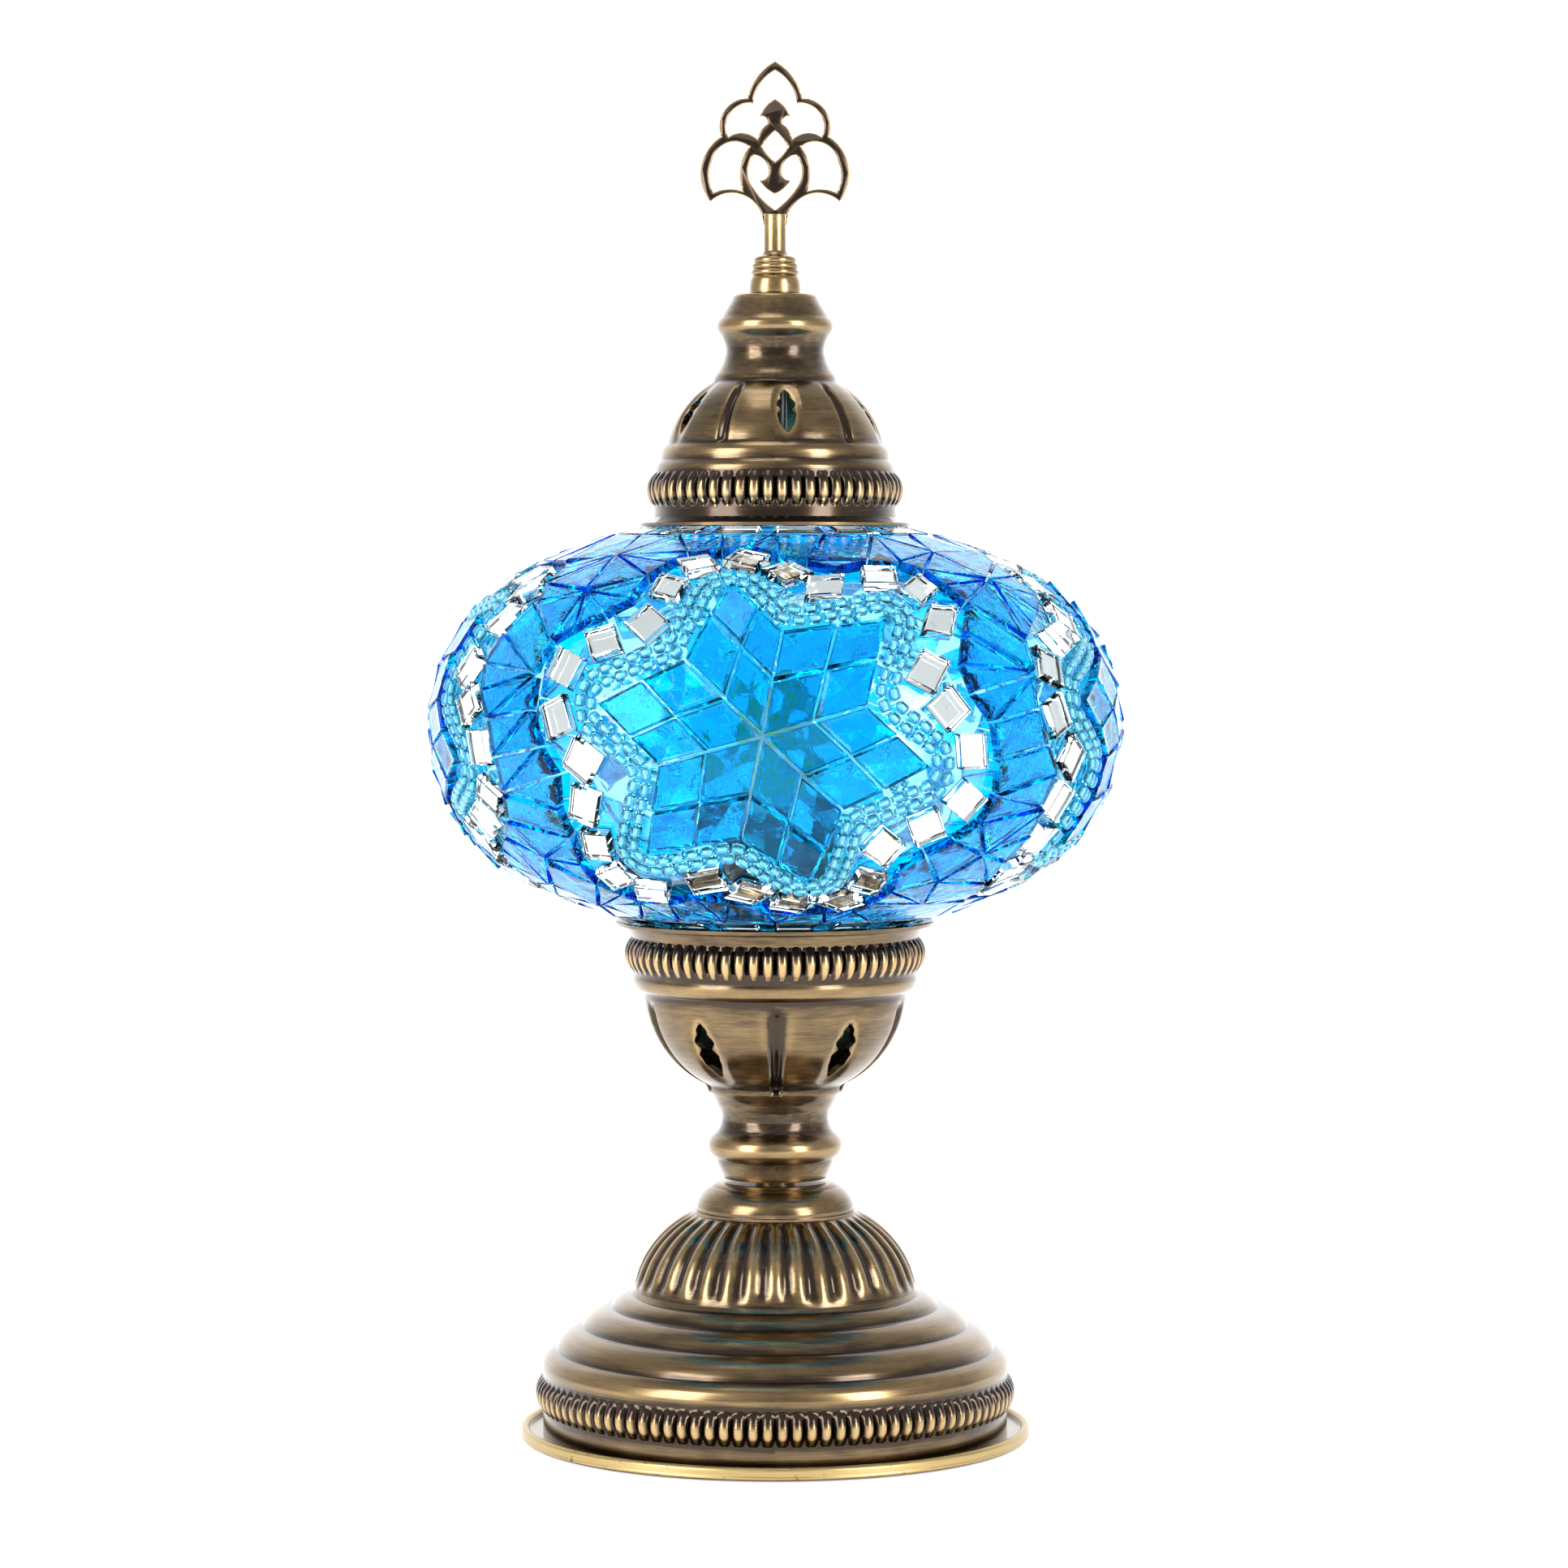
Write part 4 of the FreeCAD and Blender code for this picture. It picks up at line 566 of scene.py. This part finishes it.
def simple(name, colour, roughness, metallic=0.0, grain=900.0, spread=0.25, bump=0.15, **sockets):
    """A moulded, plated or cast material with a fine grain in its colour, gloss and surface."""
    s = Shader(name, colour, roughness, **sockets)
    s.set("Metallic", metallic)
    grains = s.noise(grain, 4.0)
    darker = tuple(c * (1 - spread) for c in colour)
    s.drive("Base Color", s.mixed(s.ramp(grains, 0.3, 0.7), darker, colour))
    s.drive("Roughness", s.ramp(grains, 0.3, 0.7, roughness * 0.85, min(1.0, roughness * 1.2)))
    s.drive("Normal", s.bump(grains, bump, 0.1 * MM))
    return s.material


def felt_material():
    """Black felt: a mat of fine fibres with a soft sheen."""
    s = Shader("felt", (0.02, 0.02, 0.022), 0.95)
    s.set("Sheen Weight", 0.5)
    fibres = s.noise(1.0, 5.0, s.stretched(2600, 2600, 900), 0.75, 1.2)
    s.drive("Base Color", s.mixed(fibres, (0.012, 0.012, 0.013), (0.05, 0.05, 0.055)))
    s.drive("Normal", s.bump(fibres, 0.8, 0.3 * MM))
    return s.material


def silvering():
    """The silver behind a mirror: bright, with a little tarnish."""
    s = Shader("silvering", (0.9, 0.91, 0.92), 0.03, Metallic=1.0)
    spots = s.ramp(s.noise(260, 4.0), 0.62, 0.8)
    s.drive("Base Color", s.mixed(spots, (0.92, 0.93, 0.94), (0.55, 0.56, 0.58)))
    s.drive("Normal", s.bump(s.noise(240, 1.0), 0.06, 0.3 * MM))
    return s.material


MATERIALS = {
    "antique": antique_brass("antique_brass", (0.036, 0.023, 0.014), (0.45, 0.305, 0.135), 0.17),
    "finial": antique_brass("finial_brass", (0.036, 0.023, 0.014), (0.45, 0.305, 0.135), 0.06),
    "bright": bright_brass(),
    "zinc": simple("zinc_steel", (0.62, 0.63, 0.65), 0.32, 1.0, 1400, 0.2),
    "iron": simple("weight_iron", (0.05, 0.05, 0.055), 0.6, 0.3, 500, 0.4, 0.6),
    "felt": felt_material(),
    "black": simple("black_plastic", (0.03, 0.03, 0.032), 0.42, 0.0, 1200, 0.3, 0.25),
    "white": simple("white_plastic", (0.75, 0.75, 0.72), 0.35, 0.0, 1000, 0.08, 0.1),
    "rubber": simple("seal_rubber", (0.03, 0.03, 0.03), 0.75, 0.0, 1500, 0.3, 0.4),
    "brown_wire": simple("wire_brown", (0.14, 0.05, 0.02), 0.35, 0.0, 800, 0.15, 0.1),
    "blue_wire": simple("wire_blue", (0.02, 0.08, 0.35), 0.35, 0.0, 800, 0.15, 0.1),
    "contact": simple("contact_brass", (0.70, 0.52, 0.24), 0.28, 1.0, 1500, 0.2),
    "nickel": simple("nickel_cap", (0.72, 0.70, 0.66), 0.22, 1.0, 1500, 0.15),
    "board": simple("led_board", (0.72, 0.76, 0.72), 0.4, 0.0, 700, 0.1, 0.1),
    "phosphor": simple("led_phosphor", (0.80, 0.80, 0.12), 0.25, 0.0, 1500, 0.15, 0.1),
    "azure": tile_glass("azure_glass", (0.0, 0.67, 0.95), (0.0, 0.56, 0.91), 0.15),
    # The side glasses are darker copies of the tile glass for the tiles' edges and bevels: painted shade for the
    # deeper colour that glass shows through its edges.
    "azure_shaded_side": tile_glass("azure_shaded_side", (0.0, 0.44, 0.88), (0.0, 0.34, 0.82), 0.2, 0.05),
    "cobalt": tile_glass("cobalt_glass", (0.0, 0.80, 0.98), (0.0, 0.58, 0.96), 0.22),
    "cobalt_shaded_side": tile_glass("cobalt_shaded_side", (0.0, 0.38, 0.95), (0.0, 0.24, 0.90), 0.2, 0.05),
    "band": tile_glass("band_glass", (0.30, 0.80, 0.95), (0.14, 0.64, 0.90), 0.3),
    "mirror_glass": clear_glass("mirror_glass", (0.90, 0.97, 0.98), 0.0, 0.05, 200),
    "silver": silvering(),
    "bead": clear_glass("bead_glass", (0.22, 0.72, 0.87), 0.02, 0.15, 700),
    # A pale opaque coat for the long middle stretch of each bead's hole: a painted highlight standing for the bright
    # line seen in the hole.
    "bead_hole_glint": simple("bead_hole_glint", (0.80, 0.94, 0.98), 0.25, 0.0, 1500, 0.1),
    "globe": clear_glass("globe_glass", (0.55, 0.86, 0.97), 0.01, 0.12, 60),
}


# ---------------------------------------------------------------- spun brass


def fine_band(band, fine, coarse):
    """A step for divided(): fine within a relief's height, coarse elsewhere."""
    return lambda height: fine if band.low - MM < height < band.high + MM else coarse


def make_base():
    low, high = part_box("base_cover")
    band = BeadedBand(12.0 * MM, 4.3 * MM, 105, 2.0 * MM)
    flutes = Flutes(38.2 * MM, 58.2 * MM, 36, 0.95 * MM, 36.4 * MM)
    outer = outer_face("base_cover", 0.5, (high.x, low.z), (0, high.z))
    outer = thinned(divided(eased(outer, 0.6 * MM), fine_band(band, 0.7 * MM, 1.4 * MM)), 0.6 * MM)
    mesh = shell("base_cover_shell", outer, [band, flutes], 735)
    inlet = cylinder_mesh(Vector((0, 40 * MM, 12 * MM)), Vector((0, 70 * MM, 12 * MM)), 4.0 * MM, 40)
    mesh = cut_through(mesh, inlet)
    mesh.materials.append(MATERIALS["antique"])
    finished("base_cover_shell", mesh, "base", ["base_cover"])

    rim_drop = 1.7 * MM
    tray = [(r, z - rim_drop * smooth_step(2 * MM, 5 * MM, z) * (r > high.x)) for r, z in section("base_tray", 0.5)]
    tray = divided(eased(tray, 0.45 * MM, True), lambda height: 4 * MM, True)
    mesh = lathe("base_tray_rim", tray, 360)
    mesh.materials.append(MATERIALS["bright"])
    mesh.materials.append(MATERIALS["antique"])
    # Dark antique brass under the cover, in a 1.5 mm ring round its foot and everywhere below 0.9 mm; the dark band
    # at the rim's foot is a painted shadow.
    for face in mesh.polygons:
        inside = math.hypot(face.center.x, face.center.y) < high.x + 1.5 * MM
        face.material_index = 1 if inside or face.center.z < 0.9 * MM else 0
    finished("base_tray_rim", mesh, "base", ["base_tray"])

    collar_low, collar_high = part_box("base_collar")
    outer = outer_face("base_collar", 0.5, (collar_high.x, collar_low.z), (0, collar_high.z))
    outer = divided(eased(outer, 0.6 * MM), lambda height: 0.5 * MM)
    mesh = shell("collar_shell", outer, [], 360)
    mesh.materials.append(MATERIALS["antique"])
    finished("collar_shell", mesh, "base", ["base_collar"])

    pad = divided(eased(solid_outline("felt_pad"), 0.35 * MM, True), lambda height: 2.5 * MM, True)
    mesh = lathe("felt_disc", pad, 240)
    mesh.materials.append(MATERIALS["felt"])
    finished("felt_disc", mesh, "base", ["felt_pad"])


def solid_outline(name):
    """The outline of a plain disc, which has no hole at its axis."""
    low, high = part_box(name)
    tiny = 0.01 * MM
    return [(tiny, low.z), (high.x, low.z), (high.x, high.z), (tiny, high.z)]


def cylinder_mesh(start, end, radius, segments):
    """A plain closed cylinder, used only as a cutter."""
    bm = bmesh.new()
    axis = end - start
    turn = axis.to_track_quat("Z", "Y").to_matrix().to_4x4()
    turn.translation = (start + end) / 2
    bmesh.ops.create_cone(bm, cap_ends=True, segments=segments, radius1=radius, radius2=radius,
                          depth=axis.length, matrix=turn)
    mesh = bpy.data.meshes.new("cutter")
    bm.to_mesh(mesh)
    bm.free()
    return mesh


def make_cup():
    low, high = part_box("lower_cup")
    band = BeadedBand(124.5 * MM, 4.3 * MM, 66, 2.0 * MM)
    slots = Slots(94.4 * MM, 108.6 * MM, 6.4 * MM, math.radians(36))
    grooves = Grooves(89.2 * MM, 113.6 * MM, math.radians(0.8), 5, 1.4 * MM, 2.7 * MM, 1.5 * MM)
    outer = outer_face("lower_cup", 0.02, (0, low.z), (high.x, high.z))
    outer = thinned(divided(eased(outer, 0.6 * MM), fine_band(band, 0.6 * MM, 1.0 * MM)), 0.5 * MM)
    mesh = shell("cup_shell", outer, [band, grooves, slots], 660)
    mesh = cut_through(mesh, slots.cutter(16 * MM, 45 * MM))
    mesh.materials.append(MATERIALS["antique"])
    finished("cup_shell", mesh, "base", ["lower_cup"])


def make_cap():
    low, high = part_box("top_cap")
    band = BeadedBand(242.6 * MM, 4.3 * MM, 56, 2.0 * MM)
    slots = Slots(256.4 * MM, 267.3 * MM, 5.2 * MM, math.radians(7))
    grooves = Grooves(253.9 * MM, 269.4 * MM, math.radians(7 + 36), 5, 1.35 * MM, 1.2 * MM, 1.2 * MM)
    outer = outer_face("top_cap", 0.7, (high.x, low.z), (0, high.z))
    outer = thinned(divided(eased(outer, 0.5 * MM), fine_band(band, 0.6 * MM, 0.9 * MM)), 0.45 * MM)
    mesh = shell("cap_shell", outer, [band, grooves, slots], 672)
    mesh = cut_through(mesh, slots.cutter(12 * MM, 45 * MM))
    mesh.materials.append(MATERIALS["antique"])
    finished("cap_shell", mesh, "cap", ["top_cap"])


def make_finial():
    """The cast finial: a dark sunk face inside a rubbed rim, rounded arrises and a polished foot."""
    foot_top = 306 * MM
    bm = plain_mesh("finial")
    wear_and_highlight = bm.verts.layers.float.new("wear_and_highlight")
    bmesh.ops.dissolve_limit(bm, angle_limit=math.radians(2), verts=bm.verts, edges=bm.edges)
    faces = [f for f in bm.faces if abs(f.normal.y) > 0.99 and f.calc_center_median().z > foot_top + 6 * MM]
    bmesh.ops.inset_region(bm, faces=faces, thickness=0.42 * MM, depth=0, use_even_offset=True,
                           use_boundary=True)
    sunk = {vert for face in faces for vert in face.verts}
    flats = {face: face.normal.copy() for face in faces}
    for vert in sunk:
        normal = next(flats[face] for face in vert.link_faces if face in flats)
        vert.co -= normal * 0.3 * MM
        vert[wear_and_highlight] = -0.3
    arrises = [e for e in bm.edges if e.is_manifold and not (set(e.verts) & sunk)
               and e.calc_face_angle() > math.radians(35)]
    bmesh.ops.bevel(bm, geom=arrises, offset=0.2 * MM, segments=2, profile=0.6, affect="EDGES",
                    clamp_overlap=True)
    for vert in bm.verts:
        if vert[wear_and_highlight] > -0.2:
            vert[wear_and_highlight] = 0.45 if vert.co.z < foot_top + 6 * MM else 0.75
    mesh = bpy.data.meshes.new("finial_casting")
    bm.to_mesh(mesh)
    bm.free()
    mesh.materials.append(MATERIALS["finial"])
    finished("finial_casting", mesh, "finial", ["finial"], 30)


# ---------------------------------------------------------------- glass


def globe_centre():
    low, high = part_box("field_tiles")
    return Vector((0, 0, (low.z + high.z) / 2))


def make_glass_globe():
    outline = divided(eased(section("glass_globe", 0.5), 0.7 * MM, True), lambda height: 2.5 * MM, True)
    mesh = lathe("blown_globe", thinned(outline, 0.9 * MM), 240)
    mesh.materials.append(MATERIALS["globe"])
    finished("blown_globe", mesh, "globe", ["glass_globe"], 60)


def tile_face(part, centre):
    """The outer face of a flat tile: its corners in order, its outward normal and the tile's thickness."""
    corners, triangles = part
    middle = sum(corners, Vector()) / len(corners)
    outward = (middle - centre).normalized()
    normals = [(b - a).cross(c - a) for a, b, c in triangles]
    normal = max((n.normalized() for n in normals if n.length > 1e-9), key=lambda n: n.dot(outward))
    top = max(p.dot(normal) for p in corners)
    thickness = top - min(p.dot(normal) for p in corners)
    face = [p for p in corners if top - p.dot(normal) < 0.05 * MM]
    middle = sum(face, Vector()) / len(face)
    side = (face[0] - middle).normalized()
    other = normal.cross(side)
    face.sort(key=lambda p: math.atan2((p - middle).dot(other), (p - middle).dot(side)))
    return face, normal, thickness


def cut_outline(face, normal, step, waver, seed):
    """Points along a tile's edges, wavering inwards as glass does where it was nipped."""
    points = []
    count = len(face)
    for i, start in enumerate(face):
        end = face[(i + 1) % count]
        heading = (end - start).normalized()
        inward = normal.cross(heading)
        parts = max(3, round((end - start).length / step))
        for k in range(parts):
            share = k / parts
            drift = noise.noise(Vector((seed, i * 3.7, share * 2.2))) * 0.5 + 0.5
            ease = min(1.0, share * parts, (1 - share) * parts)
            points.append(start.lerp(end, share) + inward * (waver * drift * (0.35 + 0.65 * ease)))
    return points


def inset(points, middle, distance):
    """Points moved towards the middle by a distance, or nearly to the middle if they are close to it."""
    moved = []
    for point in points:
        to_middle = middle - point
        moved.append(point + to_middle * min(0.9, distance / to_middle.length))
    return moved


class TileMaker:
    """Collects hand-cut glass tiles in one mesh: rippled top, eased edges, and sides in a darker copy of the glass, a
    painted shade for the deeper colour seen through a tile's edge.
    """

    def __init__(self):
        self.points, self.faces, self.sides, self.tints = [], [], [], []

    def add(self, part, centre, seed, step, waver, grow, bevel, ripple, tilt, side_rings):
        face, normal, thickness = tile_face(part, centre)
        outline = cut_outline(shrunk(face, normal, -grow), normal, step, waver, seed)
        middle = sum(outline, Vector()) / len(outline)
        rings = [
            [p - normal * thickness for p in inset(outline, middle, 0.15 * MM)],
            [p - normal * (thickness - 0.15 * MM) for p in outline],
            [p - normal * bevel for p in outline],
            [p - normal * bevel * 0.35 for p in inset(outline, middle, bevel * 0.35)],
            [p - normal * ripple for p in inset(outline, middle, bevel)],
        ]
        for share in (0.3, 0.55, 0.8):
            rings.append([self.rippled(p.lerp(middle, share), normal, ripple) for p in outline])
        tip = self.rippled(middle, normal, ripple)
        lean = self.lean(normal, tilt, seed)
        rings = [[middle + lean @ (p - middle) for p in ring] for ring in rings]
        tint = noise.noise(Vector((seed * 1.7, 4.2, 9.1))) * 0.9 + 0.5
        self.close(rings, middle - normal * thickness, tip, tint, side_rings)

    def lean(self, normal, tilt, seed):
        """A small turn about a chance direction in the tile's plane."""
        angle = noise.noise(Vector((seed * 2.9, 7.7, 0.4))) * 2 * math.pi * 3
        axis = normal.orthogonal().normalized() * math.cos(angle)
        axis += normal.cross(normal.orthogonal().normalized()) * math.sin(angle)
        share = 0.5 + 0.5 * noise.noise(Vector((1.9, seed * 3.3, 5.6)))
        return Matrix.Rotation(tilt * share, 3, axis)

    def rippled(self, point, normal, ripple):
        return point + normal * (ripple * (noise.noise(point * 420) - 1.0))

    def close(self, rings, bottom, top, tint, side_rings):
        """Joins rings from the bottom up and closes both ends; the first few strips are the tile's sides."""
        start, count = len(self.points), len(rings[0])
        for ring in rings:
            self.points += ring
        ends = len(self.points)
        self.points += [bottom, top]
        self.tints += [tint] * (len(rings) * count + 2)
        last = start + (len(rings) - 1) * count
        for k in range(count):
            n = (k + 1) % count
            for level in range(len(rings) - 1):
                a, b = start + level * count, start + (level + 1) * count
                self.faces.append((a + k, a + n, b + n, b + k))
                self.sides.append(1 if level < side_rings else 0)
            self.faces += [(start + n, start + k, ends), (last + k, last + n, ends + 1)]
            self.sides += [0, 0]

    def mesh(self, name, top, side):
        mesh = bpy.data.meshes.new(name)
        mesh.from_pydata([tuple(p) for p in self.points], [], self.faces)
        mesh.materials.append(top)
        mesh.materials.append(side)
        mesh.polygons.foreach_set("material_index", self.sides)
        mesh.attributes.new("tint", "FLOAT", "POINT").data.foreach_set("value", self.tints)
        return mesh


SHEET_CUT = {"step": 1.5 * MM, "waver": 0.10 * MM, "grow": 0.08 * MM, "bevel": 0.12 * MM, "ripple": 0.08 * MM,
             "tilt": 0.0, "side_rings": 2}
FIELD_CUT = {"step": 1.5 * MM, "waver": 0.28 * MM, "grow": 0.10 * MM, "bevel": 0.36 * MM, "ripple": 0.10 * MM,
             "tilt": math.radians(3.5), "side_rings": 4}
MIRROR_CUT = {"step": 3 * MM, "waver": 0.08 * MM, "grow": 0.0, "bevel": 0.55 * MM, "ripple": 0.0,
              "tilt": 0.0, "side_rings": 2}


def make_tiles(node, piece, top, side, cut):
    maker = TileMaker()
    centre = globe_centre()
    for number, part in enumerate(loose_parts(node)):
        maker.add(part, centre, number + 0.37, **cut)
    mesh = maker.mesh(piece, MATERIALS[top], MATERIALS[side])
    finished(piece, mesh, "globe", [node], 50)


def make_mirrors(node, piece, margin):
    """Bevelled blocks of clear glass, each with a silvered plate set in near its back."""
    blocks, plates = TileMaker(), TileMaker()
    centre = globe_centre()
    for number, part in enumerate(loose_parts(node)):
        blocks.add(part, centre, number + 0.61, **MIRROR_CUT)
        face, normal, thickness = tile_face(part, centre)
        rim = shrunk(face, normal, margin)
        low = [p - normal * (thickness - 0.25 * MM) for p in rim]
        high = [p - normal * (thickness - 0.45 * MM) for p in rim]
        middle = sum(high, Vector()) / len(high)
        plates.close([low, high], middle - normal * 0.2 * MM, middle, 0.5, 0)
    mesh = blocks.mesh(piece, MATERIALS["mirror_glass"], MATERIALS["mirror_glass"])
    finished(piece, mesh, "globe", [node], 25)
    mesh = plates.mesh(piece + "_silver", MATERIALS["silver"], MATERIALS["silver"])
    finished(piece + "_silver", mesh, "globe", [], 25)


def shrunk(face, normal, distance):
    """A convex polygon with each edge moved inwards."""
    count = len(face)
    lines = []
    for i in range(count):
        heading = (face[(i + 1) % count] - face[i]).normalized()
        inward = normal.cross(heading)
        lines.append((face[i] + inward * distance, heading, inward))
    moved = []
    for i in range(count):
        (first, heading, _), (second, _, inward) = lines[i - 1], lines[i]
        moved.append(first + heading * ((second - first).dot(inward) / heading.dot(inward)))
    return moved


def bead_axis(part):
    """A bead's centre and the direction of its hole, which its flat ends give."""
    corners, triangles = part
    centre = sum(corners, Vector()) / len(corners)
    a, b, c = np.array(triangles).transpose(1, 0, 2)
    normals = np.cross(b - a, c - a)
    areas = np.linalg.norm(normals, axis=1)
    normals = normals[areas > 0] / areas[areas > 0, None]
    alike = np.abs(normals @ normals.T) > 0.9995
    return centre, Vector(normals[np.argmax(alike @ areas[areas > 0])])


def make_beads(node, piece):
    """Short glass tubes with rounded ends, with a painted highlight line on the wall of each hole."""
    segments = 14
    half, radius, hole = 1.55 * MM, 1.45 * MM, 0.38 * MM
    profile = [(half * a, radius * r) for a, r in
               ((-1.0, 0.50), (-0.95, 0.72), (-0.82, 0.88), (-0.55, 0.97), (0.0, 1.0),
                (0.55, 0.97), (0.82, 0.88), (0.95, 0.72), (1.0, 0.50))]
    profile += [(half * 0.94, hole), (half * 0.6, hole), (-half * 0.6, hole), (-half * 0.94, hole)]
    rows = len(profile)
    points, faces, hole_glint = [], [], []
    for number, part in enumerate(loose_parts(node)):
        centre, axis = bead_axis(part)
        side = axis.orthogonal().normalized()
        other = axis.cross(side)
        size = 1 + 0.06 * noise.noise(Vector((number * 2.3, 1.1, 0.7)))
        start = len(points)
        for along, out in profile:
            for k in range(segments):
                turn = FULL_TURN * k / segments
                points.append(centre + axis * along + (side * math.cos(turn) + other * math.sin(turn)) * out * size)
        for i in range(rows):
            for k in range(segments):
                n, j = (k + 1) % segments, (i + 1) % rows
                faces.append(tuple(start + v for v in
                                   (i * segments + k, i * segments + n, j * segments + n, j * segments + k)))
                # the middle stretch of the hole's wall takes the pale coat: a painted highlight line inside the bead
                hole_glint.append(1 if i == rows - 3 else 0)
    mesh = bpy.data.meshes.new(piece)
    mesh.from_pydata([tuple(p) for p in points], [], faces)
    mesh.materials.append(MATERIALS["bead"])
    mesh.materials.append(MATERIALS["bead_hole_glint"])
    mesh.polygons.foreach_set("material_index", hole_glint)
    finished(piece, mesh, "globe", [node], 60)


# ---------------------------------------------------------------- carried-over CAD nodes


NODE_MATERIALS = {
    "bottom_washer": "zinc", "bottom_nut": "zinc", "base_weight": "iron", "weight_nut": "zinc",
    "cord_grommet": "black", "terminal_block": "white", "terminal_screws": "zinc", "stem_tube": "zinc",
    "live_wire": "brown_wire", "neutral_wire": "blue_wire", "gallery_plate": "zinc", "gallery_nut": "zinc",
    "globe_seat_ring": "rubber", "holder_cap": "black", "holder_insert": "white", "holder_barrel": "black",
    "thread_shell": "contact", "shade_ring": "black", "centre_contact": "contact",
    "bulb_tip_contact": "nickel", "bulb_insulator": "black", "bulb_screw_cap": "nickel",
    "bulb_housing": "white", "led_column": "board", "bulb_top_board": "board", "led_chips": "phosphor",
    "cap_strap": "zinc", "finial_stud": "zinc", "strap_upper_nut": "zinc", "strap_lower_nut": "zinc",
}


def dress_cad_nodes():
    """Materials for the nodes that stay as CAD made them, and a fine bevel on their edges."""
    for name, key in NODE_MATERIALS.items():
        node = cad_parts[name]
        node.data.materials.clear()
        node.data.materials.append(MATERIALS[key])
        weld = node.modifiers.new("weld", "WELD")
        weld.merge_threshold = 0.002 * MM
        bevel = node.modifiers.new("bevel", "BEVEL")
        bevel.width, bevel.segments, bevel.limit_method = 0.15 * MM, 2, "ANGLE"
        bevel.angle_limit = math.radians(40)


# ---------------------------------------------------------------- floor, light and camera


def make_stage():
    mesh = bpy.data.meshes.new("floor")
    half = 4.0
    mesh.from_pydata([(-half, -half, 0), (half, -half, 0), (half, half, 0), (-half, half, 0)], [], [(0, 1, 2, 3)])
    paper = {"Emission_Color": (1, 1, 1, 1), "Emission_Strength": 0.64}
    mesh.materials.append(simple("floor_paper", (0.9, 0.9, 0.9), 0.7, 0.0, 300, 0.01, 0.02, **paper))
    floor = bpy.data.objects.new("floor", mesh)
    SCENE.collection.objects.link(floor)
    floor.location.z = -0.05 * MM


def soft_box(name, place, size, power, target):
    light = bpy.data.lights.new(name, "AREA")
    light.shape, light.size, light.size_y, light.energy = "RECTANGLE", size[0], size[1], power
    box = bpy.data.objects.new(name, light)
    SCENE.collection.objects.link(box)
    box.location = place
    box.rotation_euler = (Vector(target) - Vector(place)).to_track_quat("-Z", "Y").to_euler()
    box.visible_camera = False


def make_light():
    """A bright backdrop seen through the glass, pale sides, a darker front and two tall soft boxes."""
    world = bpy.data.worlds.new("studio")
    SCENE.world = world
    world.use_nodes = True
    tree = world.node_tree
    background = tree.nodes["Background"]
    parts = tree.nodes.new("ShaderNodeSeparateXYZ")
    tree.links.new(tree.nodes.new("ShaderNodeTexCoord").outputs["Generated"], parts.inputs[0])

    def graded(axis, low, high, start, end):
        node = tree.nodes.new("ShaderNodeMapRange")
        node.interpolation_type = "SMOOTHSTEP"
        for key, value in (("From Min", low), ("From Max", high), ("To Min", start), ("To Max", end)):
            node.inputs[key].default_value = value
        tree.links.new(parts.outputs[axis], node.inputs["Value"])
        return node.outputs["Result"]

    def combined(operation, a, b):
        node = tree.nodes.new("ShaderNodeMath")
        node.operation = operation
        tree.links.new(a, node.inputs[0])
        tree.links.new(b, node.inputs[1])
        return node.outputs[0]

    backdrop = graded("Y", 0.3, 0.85, 0.85, 1.8)
    ceiling = graded("Z", 0.3, 0.9, 1.0, 0.9)
    front = graded("Y", -0.98, -0.6, 0.7, 1.0)
    dimmed = combined("MULTIPLY", combined("MULTIPLY", backdrop, ceiling), front)
    camera_ray = tree.nodes.new("ShaderNodeLightPath").outputs["Is Camera Ray"]
    tree.links.new(combined("MAXIMUM", dimmed, camera_ray), background.inputs["Strength"])
    background.inputs["Color"].default_value = (1, 1, 1, 1)
    middle = (0, 0, 0.17)
    soft_box("left_box", (-1.0, -0.85, 0.55), (0.65, 1.1), 21, middle)
    soft_box("right_box", (0.95, -0.95, 0.5), (0.45, 1.0), 18, middle)
    soft_box("top_box", (-0.1, 0.0, 1.3), (0.7, 0.5), 3, middle)


def make_camera():
    """The photograph's viewpoint: about 1.2 m away, a little above the globe, looking slightly down."""
    data = bpy.data.cameras.new("camera")
    data.sensor_width, data.lens = 36, 109.8
    camera = bpy.data.objects.new("camera", data)
    SCENE.collection.objects.link(camera)
    camera.location = (0, -1.22, 0.2213)
    camera.rotation_euler = (math.radians(90 - 2.525), 0, math.radians(-0.107))
    SCENE.camera = camera


def set_rendering():
    SCENE.view_settings.view_transform = "Standard"
    SCENE.cycles.max_bounces = 24
    SCENE.cycles.transmission_bounces = 20
    SCENE.cycles.transparent_max_bounces = 16
    SCENE.cycles.caustics_refractive = True


make_base()
make_cup()
make_cap()
make_finial()
make_glass_globe()
make_tiles("star_tiles", "star_glass", "azure", "azure_shaded_side", SHEET_CUT)
make_tiles("field_tiles", "field_glass", "cobalt", "cobalt_shaded_side", FIELD_CUT)
make_tiles("band_tiles", "band_glass", "band", "azure_shaded_side", SHEET_CUT)
make_mirrors("mirror_tiles", "mirror_blocks", 0.2 * MM)
make_mirrors("band_mirrors", "band_mirror_blocks", 0.3 * MM)
make_beads("bead_row_outer", "outer_beads")
make_beads("bead_row_inner", "inner_beads")
dress_cad_nodes()
make_stage()
make_light()
make_camera()
set_rendering()
